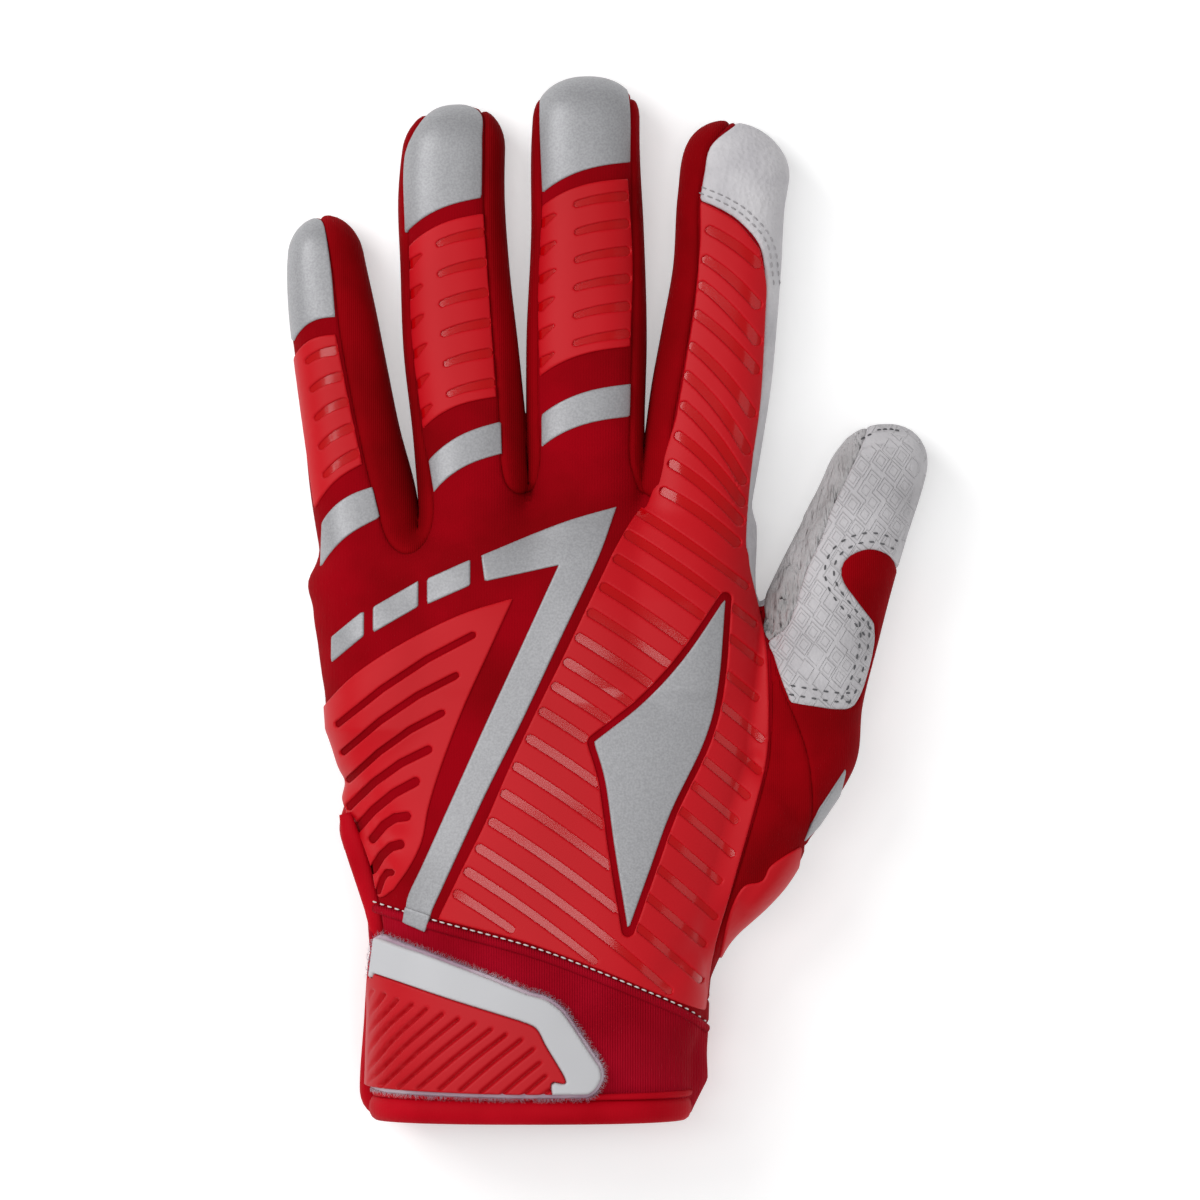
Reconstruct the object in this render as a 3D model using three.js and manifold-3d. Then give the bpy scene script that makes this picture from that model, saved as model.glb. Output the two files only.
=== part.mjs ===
// Batting glove for the left hand, lying palm down with its strap fastened.
// Millimetres. Fingers point to +Y, the thumb to +X, the back of the hand to +Z.
import * as THREE from "three";
import { mergeVertices } from "three/addons/utils/BufferGeometryUtils.js";
import Module from "manifold-3d";

const kernel = await Module();
kernel.setup();
const Solid = kernel.Manifold;

// Main sizes
const HAND_WIDTH = 101;
const HAND_LENGTH = 110;
const HAND_THICKNESS = 31;
const CUFF_LENGTH = 30;
const CUFF_WIDTH = 75;
const CUFF_THICKNESS = 37;

// Finger sizes: length from its root in the hand, width, thickness and lean to the thumb side
const LITTLE_LENGTH = 95.6;
const LITTLE_WIDTH = 22;
const LITTLE_THICKNESS = 17;
const LITTLE_LEAN = -8.5;
const RING_LENGTH = 111.8;
const RING_WIDTH = 24.5;
const RING_THICKNESS = 18.5;
const RING_LEAN = -2.9;
const MIDDLE_LENGTH = 118.1;
const MIDDLE_WIDTH = 25.6;
const MIDDLE_THICKNESS = 19;
const MIDDLE_LEAN = 0.5;
const INDEX_LENGTH = 108;
const INDEX_WIDTH = 26;
const INDEX_THICKNESS = 19;
const INDEX_LEAN = 6.2;
const THUMB_LENGTH = 127.6;
const THUMB_WIDTH = 27;
const THUMB_THICKNESS = 23;
const THUMB_LEAN = 21;

// Wall, gaps and heights
const WALL = 1.3;
const GAP = 0.3;
const PALM_SEAM_HEIGHT = 6;
const TRIM_LOWEST = 9;
const GRIP_LOWEST = 13;
const HAND_SINK = 3;
const FINGER_SINK = 1.5;
const CUFF_SINK = 1;

// Overlays: how far each stands off the cloth
const PRINT_THICKNESS = 0.5;
const GRIP_THICKNESS = 0.7;
const PIPING_THICKNESS = 1.1;
const PIPING_WIDTH = 1.7;
const BINDING_WIDTH = 5.4;
const BINDING_PROUD = 1.2;
const BINDING_INSIDE = 2.2;
const HOOK_LIFT = 0.4;
const HOOK_THICKNESS = 0.9;
const STRAP_THICKNESS = 1.3;
const STRAP_LOWEST = 9;
const STRAP_OVERHANG = 1;
const RIB_DEPTH = 0.7;
const RIB_WIDTH = 0.9;
const RIB_COUNT = 8;
const RIB_SLOPE = 0.8;
const BADGE_BORDER = 1.3;
const BADGE_SLOT_CLEAR = 2.6;

// Slit at the little-finger side of the cuff
const SLIT_HEIGHT = 21;
const SLIT_ROLL_RADIUS = 1;
const PULL_TAB_LENGTH = 10;
const PULL_TAB_HEIGHT = 6;
const PULL_TAB_THICKNESS = 1.1;
const PULL_TAB_TURN = -0.06;

// Slots pressed through the grip films, and shares of the film that a finger slot spans
const FINGER_SLOT_WIDTH = 1.5;
const FINGER_SLOT_START = 0.42;
const FINGER_SLOT_END = 0.9;
const FINGER_SLOT_MARGIN = 0.7;
const HAND_SLOT_WIDTH = 1.8;
const ULNAR_SLOT_WIDTH = 1.8;

// Facets
const FINGER_SIDES = 10;
const BODY_SIDES = 20;
const ROUNDNESS = 2.4;
const CAP_ROUNDNESS = 2.2;
const CAP_STEPS = [0.55, 0.88];
const CAP_CLEARANCE = 0.25;
const ROLL_STEPS = 8;
const ROLL_SIDES = 4;
const MITRE_LIMIT = 0.5;
const WELD_DISTANCE = 1e-4;

// Cuff and hand sections as shares of cuff length or hand length, width and thickness.
// left and right are measured from the middle line of the cuff, top from the floor.
const CUFF_ROWS = [
  { along: 0.0, left: -0.47, right: 0.457, top: 1.0 },
  { along: 0.5, left: -0.463, right: 0.497, top: 1.0 },
  { along: 1.0, left: -0.463, right: 0.527, top: 0.98 },
];
const HAND_ROWS = [
  { along: 0.071, left: -0.358, right: 0.41, top: 1.145 },
  { along: 0.275, left: -0.408, right: 0.477, top: 1.097 },
  { along: 0.511, left: -0.428, right: 0.528, top: 1.032 },
  { along: 0.634, left: -0.459, right: 0.528, top: 1.0 },
  { along: 0.766, left: -0.483, right: 0.506, top: 0.968 },
  { along: 0.848, left: -0.472, right: 0.492, top: 0.91 },
  { along: 0.92, left: -0.236, right: 0.49, top: 0.81 },
  { along: 0.991, left: -0.192, right: 0.483, top: 0.66 },
];

// Finger sections: along is a share of finger length, width and side of its width,
// bottom and top of its thickness. cap is the rounded tip as a share of the length.
const FINGERS = {
  little: {
    length: LITTLE_LENGTH,
    width: LITTLE_WIDTH,
    thickness: LITTLE_THICKNESS,
    lean: LITTLE_LEAN,
    across: -0.329,
    along: 0.705,
    cap: 0.085,
    rows: [
      { along: 0.0, width: 1.0, side: 0.0, bottom: 0.05, top: 1.6 },
      { along: 0.36, width: 1.06, side: 0.0, bottom: 0.0, top: 1.17 },
      { along: 0.5, width: 0.96, side: -0.02, bottom: 0.0, top: 1.08 },
      { along: 0.78, width: 0.87, side: -0.03, bottom: 0.0, top: 1.0 },
      { along: 0.9, width: 0.78, side: -0.02, bottom: 0.0, top: 0.93 },
      { along: 1.0, width: 0.64, side: 0.03, bottom: 0.05, top: 0.85 },
    ],
  },
  ring: {
    length: RING_LENGTH,
    width: RING_WIDTH,
    thickness: RING_THICKNESS,
    lean: RING_LEAN,
    across: -0.114,
    along: 0.787,
    cap: 0.09,
    rows: [
      { along: 0.0, width: 1.0, side: 0.0, bottom: 0.05, top: 1.46 },
      { along: 0.34, width: 1.01, side: -0.02, bottom: 0.0, top: 1.12 },
      { along: 0.5, width: 1.02, side: -0.06, bottom: 0.0, top: 1.05 },
      { along: 0.67, width: 0.963, side: -0.08, bottom: 0.0, top: 1.0 },
      { along: 0.83, width: 0.94, side: -0.08, bottom: 0.0, top: 0.95 },
      { along: 1.0, width: 0.86, side: -0.03, bottom: 0.05, top: 0.85 },
    ],
  },
  middle: {
    length: MIDDLE_LENGTH,
    width: MIDDLE_WIDTH,
    thickness: MIDDLE_THICKNESS,
    lean: MIDDLE_LEAN,
    across: 0.121,
    along: 0.787,
    cap: 0.08,
    rows: [
      { along: 0.0, width: 1.0, side: 0.0, bottom: 0.05, top: 1.46 },
      { along: 0.32, width: 1.0, side: -0.014, bottom: 0.0, top: 1.12 },
      { along: 0.5, width: 1.02, side: -0.01, bottom: 0.0, top: 1.05 },
      { along: 0.7, width: 0.96, side: 0.0, bottom: 0.0, top: 1.0 },
      { along: 0.87, width: 0.92, side: -0.02, bottom: 0.0, top: 0.95 },
      { along: 1.0, width: 0.88, side: -0.04, bottom: 0.05, top: 0.85 },
    ],
  },
  index: {
    length: INDEX_LENGTH,
    width: INDEX_WIDTH,
    thickness: INDEX_THICKNESS,
    lean: INDEX_LEAN,
    across: 0.335,
    along: 0.787,
    cap: 0.115,
    rows: [
      { along: 0.0, width: 1.0, side: 0.0, bottom: 0.05, top: 1.46 },
      { along: 0.32, width: 1.01, side: 0.05, bottom: 0.0, top: 1.12 },
      { along: 0.45, width: 1.02, side: 0.07, bottom: 0.0, top: 1.06 },
      { along: 0.7, width: 0.92, side: 0.095, bottom: 0.0, top: 1.0 },
      { along: 0.88, width: 0.95, side: 0.075, bottom: 0.0, top: 0.95 },
      { along: 1.0, width: 0.98, side: -0.01, bottom: 0.05, top: 0.85 },
    ],
  },
  thumb: {
    length: THUMB_LENGTH,
    width: THUMB_WIDTH,
    thickness: THUMB_THICKNESS,
    lean: THUMB_LEAN,
    across: 0.314,
    along: -0.011,
    cap: 0.085,
    rows: [
      { along: 0.0, width: 0.6, side: 0.0, bottom: 0.3, top: 0.9 },
      { along: 0.185, width: 0.97, side: 0.125, bottom: 0.0, top: 1.12 },
      { along: 0.29, width: 1.07, side: 0.17, bottom: 0.0, top: 1.12 },
      { along: 0.4, width: 1.13, side: 0.245, bottom: 0.0, top: 1.08 },
      { along: 0.617, width: 1.03, side: 0.095, bottom: 0.0, top: 1.0 },
      { along: 0.7, width: 1.04, side: 0.045, bottom: 0.0, top: 0.97 },
      { along: 0.91, width: 0.88, side: 0.01, bottom: 0.0, top: 0.9 },
      { along: 1.0, width: 0.8, side: -0.05, bottom: 0.05, top: 0.8 },
    ],
  },
};

// Borders on the hand: [across, along] as shares of hand width and hand length
const CUFF_SEAM = [
  [-0.42, 0.19],
  [-0.33, 0.167],
  [-0.203, 0.136],
  [-0.002, 0.087],
  [0.154, 0.034],
  [0.332, -0.037],
  [0.39, -0.076],
  [0.46, -0.1],
];
const HAND_RIGHT = [
  [0.528, 0.635],
  [0.526, 0.558],
  [0.492, 0.357],
  [0.45, 0.21],
  [0.403, 0.071],
  [0.37, -0.03],
];
const GUSSET_TOP = [0.535, 0.66];
const GUSSET_RIGHT = [
  [0.626, 0.357],
  [0.617, 0.458],
  [0.59, 0.537],
  [0.557, 0.607],
];
const HAND_GRIP_LEFT = [
  [0.236, 0.95],
  [0.192, 0.901],
  [0.151, 0.824],
  [0.071, 0.67],
  [0.02, 0.576],
  [-0.045, 0.451],
  [-0.098, 0.339],
  [-0.147, 0.249],
  [-0.195, 0.165],
];
const HAND_GRIP_BASE = [
  [-0.002, 0.112],
  [0.154, 0.06],
  [0.28, 0.012],
  [0.352, 0.0],
];
const HAND_GRIP_RIGHT = [
  [0.385, 0.07],
  [0.432, 0.21],
  [0.472, 0.357],
  [0.503, 0.558],
  [0.5, 0.7],
  [0.474, 0.787],
  [0.462, 0.87],
];
const ULNAR_GRIP = [
  [-0.441, 0.586],
  [-0.392, 0.633],
  [-0.292, 0.695],
  [-0.158, 0.756],
  [-0.038, 0.791],
  [-0.094, 0.678],
  [-0.147, 0.57],
  [-0.192, 0.462],
  [-0.238, 0.302],
  [-0.294, 0.214],
  [-0.315, 0.185],
  [-0.345, 0.205],
  [-0.375, 0.33],
  [-0.425, 0.45],
];
const STRIPE = [
  [-0.07, 0.848],
  [0.071, 0.877],
  [0.025, 0.818],
  [-0.029, 0.713],
  [-0.105, 0.545],
  [-0.169, 0.406],
  [-0.229, 0.267],
  [-0.276, 0.19],
  [-0.232, 0.172],
  [-0.192, 0.222],
  [-0.136, 0.337],
  [-0.082, 0.441],
  [-0.007, 0.58],
  [0.065, 0.703],
  [0.131, 0.834],
  [0.19, 0.955],
  [0.042, 0.93],
  [-0.06, 0.897],
];
const DASH_LINE = [
  [-0.43, 0.692],
  [-0.36, 0.741],
  [-0.228, 0.811],
  [-0.105, 0.853],
];
const DASH_HALF_WIDTH = 0.026;
const DASH_START = 0.1;
const DASH_GAP = 0.008;
const BADGE = [
  [0.415, 0.77],
  [0.385, 0.521],
  [0.31, 0.378],
  [0.25, 0.25],
  [0.215, 0.14],
  [0.185, 0.29],
  [0.145, 0.49],
  [0.262, 0.62],
];
const THUMB_SIDE_GRIP = [
  [0.425, 0.065],
  [0.452, 0.16],
  [0.475, 0.2],
  [0.515, 0.212],
  [0.53, 0.24],
  [0.56, 0.265],
  [0.575, 0.24],
  [0.55, 0.18],
  [0.47, 0.075],
];
const SLIT_ROLL_ROWS = [0.285, 0.24, 0.19, 0.14];
const SLIT = [
  [-0.6, 0.4],
  [-0.413, 0.388],
  [-0.385, 0.316],
  [-0.325, 0.112],
  [-0.34, -0.236],
  [-0.34, -0.4],
  [-0.6, -0.4],
];

// Strap outlines on the cuff, shares of cuff width and cuff length
const STRAP = [
  [-0.62, 1.37],
  [-0.475, 1.37],
  [-0.003, 0.96],
  [0.076, 0.885],
  [0.205, 0.42],
  [0.2, 0.285],
  [0.176, 0.225],
  [-0.62, 0.25],
];
const STRAP_INSET = [
  [-0.7, 1.22],
  [-0.46, 1.07],
  [-0.027, 0.765],
  [0.045, 0.62],
  [0.105, 0.32],
  [0.063, 0.305],
  [0.07, 0.18],
  [-0.7, 0.18],
];

// Borders on a finger: [along, across], across from -1 at its left side to 1.
// A crotch panel runs down one finger, round its base on the hand, and up the next.
const CROTCHES = {
  little_ring: {
    left: "little",
    down: [[1.03, -0.3], [0.97, 0.07], [0.86, 0.19], [0.6, 0.17], [0.41, 0.19]],
    base: [[-0.332, 0.95], [-0.303, 0.895], [-0.276, 0.883], [-0.247, 0.893], [-0.225, 0.93]],
    right: "ring",
    up: [[0.26, -0.83], [0.34, -0.92], [0.6, -0.9], [0.9, -0.9], [1.03, -0.55]],
  },
  ring_middle: {
    left: "ring",
    down: [[1.03, 0.3], [0.93, 0.64], [0.6, 0.65], [0.36, 0.62]],
    base: [[-0.062, 1.053], [-0.051, 1.022], [-0.025, 1.004], [0.002, 1.016], [0.016, 1.053]],
    right: "middle",
    up: [[0.32, -0.88], [0.6, -0.9], [0.9, -0.92], [1.03, -0.5]],
  },
  middle_index: {
    left: "middle",
    down: [[1.03, 0.5], [0.93, 0.9], [0.6, 0.86], [0.36, 0.84]],
    base: [[0.225, 1.053], [0.243, 1.012], [0.272, 0.995], [0.299, 1.012], [0.312, 1.063]],
    right: "index",
    up: [[0.36, -0.62], [0.42, -0.58], [0.67, -0.63], [0.83, -0.68], [0.95, -0.5], [1.03, 0.1]],
  },
};
const FILM_LEFT = [
  [0.825, -0.58],
  [0.67, -0.53],
  [0.42, -0.47],
  [0.36, -0.5],
];
const FILM_RIGHT = [
  [0.3, 0.74],
  [0.42, 0.76],
  [0.594, 0.7],
  [0.715, 0.55],
  [0.77, 0.13],
  [0.8, -0.25],
];
const INDEX_LEATHER = [
  [1.1, 0.1],
  [0.996, 0.106],
  [0.948, -0.441],
  [0.854, -0.66],
  [0.833, -0.66],
  [0.81, -0.215],
  [0.781, 0.183],
  [0.727, 0.611],
  [0.594, 0.769],
  [0.421, 0.832],
  [0.291, 0.8],
  [0.208, 0.83],
  [0.1, 0.9],
  [0.1, 1.6],
  [1.1, 1.6],
];
const THUMB_CREASE = [
  [1.1, -0.42],
  [0.988, -0.415],
  [0.909, -0.556],
  [0.85, -0.59],
  [0.806, -0.515],
  [0.727, -0.543],
  [0.649, -0.528],
  [0.616, -0.79],
];
const THUMB_PATCH_EDGE = [
  [0.543, -0.442],
  [0.509, -0.194],
  [0.499, 0.449],
  [0.496, 0.768],
  [0.504, 0.881],
  [0.563, 0.97],
  [0.644, 0.87],
  [0.666, 0.668],
  [0.691, 0.424],
  [0.723, 0.141],
  [0.742, 0.044],
  [0.76, 0.05],
  [0.772, 0.182],
  [0.776, 0.37],
  [0.772, 0.604],
  [0.76, 0.844],
  [0.741, 1.014],
  [0.741, 1.6],
  [1.1, 1.6],
];
const THUMB_INNER_EDGE = [
  [0.6, -1.25],
  [0.7, -1.6],
  [1.1, -1.6],
];
const THUMB_BACK_EDGE = [
  [0.616, -0.79],
  [0.85, -0.2],
  [0.85, 1.7],
  [0.2, 2.6],
];
const THUMB_MARK = [
  [0.369, 0.8],
  [0.321, 0.78],
  [0.262, 0.86],
  [0.29, 0.9],
  [0.344, 0.9],
];

// Printed trims on three fingers. A grip runs top left, top right, right side,
// bottom right, bottom left, left side.
const TRIMS = {
  little: {
    tip: [[0.95, -0.85], [0.965, 0.0], [0.861, 0.15], [0.76, 0.07], [0.706, -0.95], [0.8, -0.97]],
    grip: [[0.666, -0.97], [0.719, 0.03], [0.56, 0.1], [0.414, 0.14], [0.308, -0.93], [0.5, -0.97]],
    bar: [[0.275, -0.84], [0.36, 0.24], [0.288, 0.29], [0.169, -0.97]],
    slots: 5,
  },
  ring: {
    tip: [[0.978, -0.5], [0.978, 0.45], [0.92, 0.58], [0.809, 0.6], [0.738, -0.9], [0.871, -0.93]],
    grip: [[0.712, -0.83], [0.777, 0.65], [0.58, 0.6], [0.408, 0.56], [0.344, -0.82], [0.53, -0.85]],
    bar: [[0.28, -0.77], [0.358, 0.59], [0.294, 0.56], [0.217, -0.72]],
    slots: 6,
  },
  middle: {
    tip: [[0.975, -0.75], [0.975, 0.7], [0.92, 0.84], [0.834, 0.84], [0.775, -0.82], [0.92, -0.88]],
    grip: [[0.75, -0.82], [0.802, 0.78], [0.64, 0.78], [0.482, 0.72], [0.425, -0.79], [0.58, -0.85]],
    bar: [[0.352, -0.76], [0.411, 0.77], [0.349, 0.77], [0.291, -0.76]],
    slots: 6,
  },
};

// Slots of the little-finger side: [across, along] of the outer and the inner end
const ULNAR_SLOTS = [
  { outer: [-0.42, 0.53], inner: [-0.15, 0.7] },
  { outer: [-0.41, 0.475], inner: [-0.175, 0.625] },
  { outer: [-0.398, 0.42], inner: [-0.2, 0.552] },
  { outer: [-0.392, 0.366], inner: [-0.232, 0.478] },
  { outer: [-0.37, 0.325], inner: [-0.253, 0.415] },
  { outer: [-0.345, 0.275], inner: [-0.272, 0.345] },
];

// Slots of the hand film: where each starts on the film's left border, and its length
const HAND_SLOTS = [
  { along: 0.813, length: 0.29 },
  { along: 0.762, length: 0.31 },
  { along: 0.715, length: 0.33 },
  { along: 0.668, length: 0.33 },
  { along: 0.619, length: 0.2 },
  { along: 0.57, length: 0.19 },
  { along: 0.513, length: 0.2 },
  { along: 0.455, length: 0.22 },
  { along: 0.4, length: 0.24 },
  { along: 0.343, length: 0.26 },
  { along: 0.29, length: 0.27 },
];
const HAND_SLOT_SLOPE = -0.68;
const HAND_SLOT_INSET = 0.028;
const INDEX_SLOTS = [0.7, 0.62, 0.54, 0.46, 0.38];
const INDEX_SLOT_SPAN = [-0.42, 0.5];
const INDEX_SLOT_DROP = 0.13;

// Even cubic curve through table rows, with the row slopes taken from their neighbours
function between(rows, place, key) {
  const last = rows.length - 1;
  let i = 0;
  while (i < last - 1 && place > rows[i + 1].y) i += 1;
  const slope = (k) => {
    const a = rows[Math.max(0, k - 1)];
    const b = rows[Math.min(last, k + 1)];
    return (b[key] - a[key]) / (b.y - a.y);
  };
  const from = rows[i];
  const to = rows[i + 1];
  const span = to.y - from.y;
  const t = THREE.MathUtils.clamp((place - from.y) / span, 0, 1);
  const t2 = t * t;
  const t3 = t2 * t;
  return (
    (2 * t3 - 3 * t2 + 1) * from[key] +
    (t3 - 2 * t2 + t) * span * slope(i) +
    (3 * t2 - 2 * t3) * to[key] +
    (t3 - t2) * span * slope(i + 1)
  );
}

function fingerLobe(finger) {
  const rootX = finger.across * HAND_WIDTH;
  const rootY = CUFF_LENGTH + finger.along * HAND_LENGTH;
  const drift = Math.tan(THREE.MathUtils.degToRad(finger.lean));
  const rows = finger.rows.map((row) => ({
    y: rootY + row.along * finger.length,
    x: rootX + drift * row.along * finger.length + row.side * finger.width,
    half: (row.width * finger.width) / 2,
    low: row.bottom * finger.thickness - FINGER_SINK,
    high: row.top * finger.thickness,
  }));
  const slant = Math.hypot(1, drift);
  return { rows, slant, cap: finger.cap * finger.length, sides: FINGER_SIDES };
}

function bodyLobe() {
  const section = (y, width, row, thickness, sink) => ({
    y,
    x: ((row.left + row.right) / 2) * width,
    half: ((row.right - row.left) / 2) * width,
    low: -sink,
    high: row.top * thickness,
  });
  const rows = [
    ...CUFF_ROWS.map((row) => {
      const y = row.along * CUFF_LENGTH;
      return section(y, CUFF_WIDTH, row, CUFF_THICKNESS, CUFF_SINK);
    }),
    ...HAND_ROWS.map((row) => {
      const y = CUFF_LENGTH + row.along * HAND_LENGTH;
      return section(y, HAND_WIDTH, row, HAND_THICKNESS, HAND_SINK);
    }),
  ];
  return { rows, slant: 1, cap: 0, open: true, sides: BODY_SIDES };
}

const LOBES = { body: bodyLobe() };
for (const name of Object.keys(FINGERS)) LOBES[name] = fingerLobe(FINGERS[name]);

function sectionAt(lobe, y) {
  return {
    x: between(lobe.rows, y, "x"),
    half: between(lobe.rows, y, "half"),
    low: between(lobe.rows, y, "low"),
    high: between(lobe.rows, y, "high"),
  };
}

function signedPower(value, power) {
  return Math.sign(value) * Math.abs(value) ** power;
}

// One closed ring of a lobe, grown outwards by grow and drawn in by the share round
function ringAt(lobe, y, grow, ringY, round) {
  const s = sectionAt(lobe, y);
  const middle = (s.low + s.high) / 2;
  const halfWidth = (s.half + grow * lobe.slant) * round;
  const halfHeight = ((s.high - s.low) / 2 + grow) * round;
  const ring = [];
  for (let i = 0; i < lobe.sides; i += 1) {
    const angle = (i / lobe.sides) * 2 * Math.PI;
    ring.push([
      s.x - halfWidth * signedPower(Math.cos(angle), 2 / ROUNDNESS),
      ringY,
      middle + halfHeight * signedPower(Math.sin(angle), 2 / ROUNDNESS),
    ]);
  }
  return ring;
}

function lobeGeometry(lobe, grow) {
  const first = lobe.rows[0].y;
  const tip = lobe.rows[lobe.rows.length - 1].y;
  const capStart = tip - lobe.cap;
  const rings = [];
  const openEnd = lobe.open && grow < 0 ? first - 2 * WALL : first;
  const lastStation = capStart - lobe.cap * CAP_CLEARANCE;
  const stations = lobe.rows.map((row) => row.y).filter((y) => y < lastStation);
  stations.push(capStart);
  for (const y of stations) {
    const end = lobe.cap === 0 && y === capStart ? Math.min(grow, 0) : 0;
    rings.push(ringAt(lobe, y, grow, y === first ? openEnd : y + end, 1));
  }
  if (lobe.cap > 0) {
    for (const u of CAP_STEPS) {
      const round = (1 - u ** CAP_ROUNDNESS) ** (1 / CAP_ROUNDNESS);
      const y = capStart + lobe.cap * u;
      rings.push(ringAt(lobe, y, grow, capStart + (lobe.cap + grow) * u, round));
    }
  }
  const points = [];
  const faces = [];
  const n = lobe.sides;
  for (const ring of rings) points.push(...ring);
  for (let r = 0; r + 1 < rings.length; r += 1) {
    for (let i = 0; i < n; i += 1) {
      const a = r * n + i;
      const b = r * n + ((i + 1) % n);
      faces.push([a, b, a + n], [b, b + n, a + n]);
    }
  }
  const centre = (ring, y) => {
    const sum = ring.reduce((total, p) => [total[0] + p[0], total[1] + p[2]], [0, 0]);
    return [sum[0] / n, y, sum[1] / n];
  };
  const start = points.push(centre(rings[0], openEnd)) - 1;
  const tipY = lobe.cap > 0 ? tip + grow : rings[rings.length - 1][0][1];
  const end = points.push(centre(rings[rings.length - 1], tipY)) - 1;
  const lastRing = (rings.length - 1) * n;
  for (let i = 0; i < n; i += 1) {
    const j = (i + 1) % n;
    faces.push([start, j, i], [end, lastRing + i, lastRing + j]);
  }
  const geometry = new THREE.BufferGeometry();
  geometry.setAttribute("position", new THREE.Float32BufferAttribute(points.flat(), 3));
  geometry.setIndex(faces.flat());
  return geometry;
}

// A closed three.js geometry as a solid for joining and cutting
function solidFrom(geometry) {
  const bare = new THREE.BufferGeometry();
  const source = geometry.index ? geometry.toNonIndexed() : geometry;
  bare.setAttribute("position", source.getAttribute("position"));
  const merged = mergeVertices(bare, WELD_DISTANCE);
  const mesh = new kernel.Mesh({
    numProp: 3,
    vertProperties: new Float32Array(merged.getAttribute("position").array),
    triVerts: new Uint32Array(merged.index.array),
  });
  return new Solid(mesh);
}

function prism(outline, low, high) {
  const shape = new THREE.Shape(outline.map(([x, y]) => new THREE.Vector2(x, y)));
  const geometry = new THREE.ExtrudeGeometry(shape, { depth: high - low, bevelEnabled: false });
  geometry.translate(0, 0, low);
  return solidFrom(geometry);
}

// The outline moved outwards by a distance, corners kept from running far out
function growOutline(outline, by) {
  const points = outline.map(([x, y]) => new THREE.Vector2(x, y));
  const outward = THREE.ShapeUtils.isClockWise(points) ? -1 : 1;
  return points.map((point, i) => {
    const before = points[(i + points.length - 1) % points.length];
    const after = points[(i + 1) % points.length];
    const edgeIn = point.clone().sub(before).normalize();
    const edgeOut = after.clone().sub(point).normalize();
    const normal = new THREE.Vector2(edgeIn.y + edgeOut.y, -edgeIn.x - edgeOut.x).normalize();
    const reach = Math.max(MITRE_LIMIT, normal.dot(new THREE.Vector2(edgeIn.y, -edgeIn.x)));
    const moved = point.clone().addScaledVector(normal, (outward * by) / reach);
    return [moved.x, moved.y];
  });
}

const SKY = CUFF_THICKNESS * 2;
const FAR = HAND_LENGTH * 3;
const UNDER = -HAND_SINK * 2;

const mix = THREE.MathUtils.lerp;
const onHand = ([across, along]) => [across * HAND_WIDTH, CUFF_LENGTH + along * HAND_LENGTH];
const onCuff = ([across, along]) => [across * CUFF_WIDTH, along * CUFF_LENGTH];
const onFinger = (name) => ([along, across]) => {
  const lobe = LOBES[name];
  const first = lobe.rows[0].y;
  const last = lobe.rows[lobe.rows.length - 1].y;
  const y = first + along * (last - first);
  const s = sectionAt(lobe, y);
  return [s.x + across * s.half, y];
};

function floorBox(top) {
  const outline = [
    [-FAR, -FAR],
    [FAR, -FAR],
    [FAR, FAR],
    [-FAR, FAR],
  ];
  return prism(outline, UNDER, top);
}

// The whole glove as one filled form, grown by a distance and flat on the floor
function formSolid(grow) {
  const lobes = Object.values(LOBES).map((lobe) => solidFrom(lobeGeometry(lobe, grow)));
  return Solid.union(lobes).subtract(floorBox(Math.max(0, -grow)));
}

function largest(solid) {
  const bodies = solid.decompose();
  return bodies.reduce((best, body) => (body.volume() > best.volume() ? body : best));
}

const OUTER = formSolid(0);
const INNER = formSolid(-WALL);
const slit = prism(SLIT.map(onHand), SLIT_HEIGHT, SKY);
const SHELL = OUTER.subtract(INNER).subtract(slit);
const shells = new Map();

// A layer that follows the outside of the glove between two distances
function layer(from, thickness) {
  const key = from + "," + thickness;
  if (!shells.has(key)) {
    shells.set(key, formSolid(from + thickness).subtract(formSolid(from)));
  }
  return shells.get(key);
}

function overlay(outline, from, thickness, lowest) {
  return layer(from, thickness).intersect(prism(outline, lowest, SKY));
}

// A slot of even width between two points, pointed at neither end
function slotPrism(from, to, width) {
  const a = new THREE.Vector2(...from);
  const b = new THREE.Vector2(...to);
  const direction = b.clone().sub(a).normalize();
  const side = new THREE.Vector2(-direction.y, direction.x).multiplyScalar(width / 2);
  const outline = [
    [a.x + side.x, a.y + side.y],
    [a.x - side.x, a.y - side.y],
    [b.x - side.x, b.y - side.y],
    [b.x + side.x, b.y + side.y],
  ];
  return prism(outline, 0, SKY);
}

// Regions of the sewn shell, first come first served
const thumb = onFinger("thumb");
const index = onFinger("index");
const seamLine = CUFF_SEAM.map(onHand);
const cuffOutline = [
  [-FAR, seamLine[0][1]],
  ...seamLine,
  [FAR, seamLine[seamLine.length - 1][1]],
  [FAR, -FAR],
  [-FAR, -FAR],
];
const crease = THUMB_CREASE.map(thumb);
const thumbPatch = [...crease, ...THUMB_PATCH_EDGE.map(thumb)];
const thumbInner = [...crease, ...THUMB_INNER_EDGE.map(thumb)];
const gussetRight = GUSSET_RIGHT.map(onHand);
const handRight = HAND_RIGHT.map(onHand);
const thumbBack = [...gussetRight, ...THUMB_BACK_EDGE.map(thumb)];
const gusset = [
  ...handRight,
  [FAR, handRight[handRight.length - 1][1]],
  [FAR, gussetRight[0][1]],
  ...gussetRight,
  onHand(GUSSET_TOP),
];

function crotchOutline(crotch) {
  const down = crotch.down.map(onFinger(crotch.left));
  const up = crotch.up.map(onFinger(crotch.right));
  return [...down, ...crotch.base.map(onHand), ...up];
}

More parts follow.
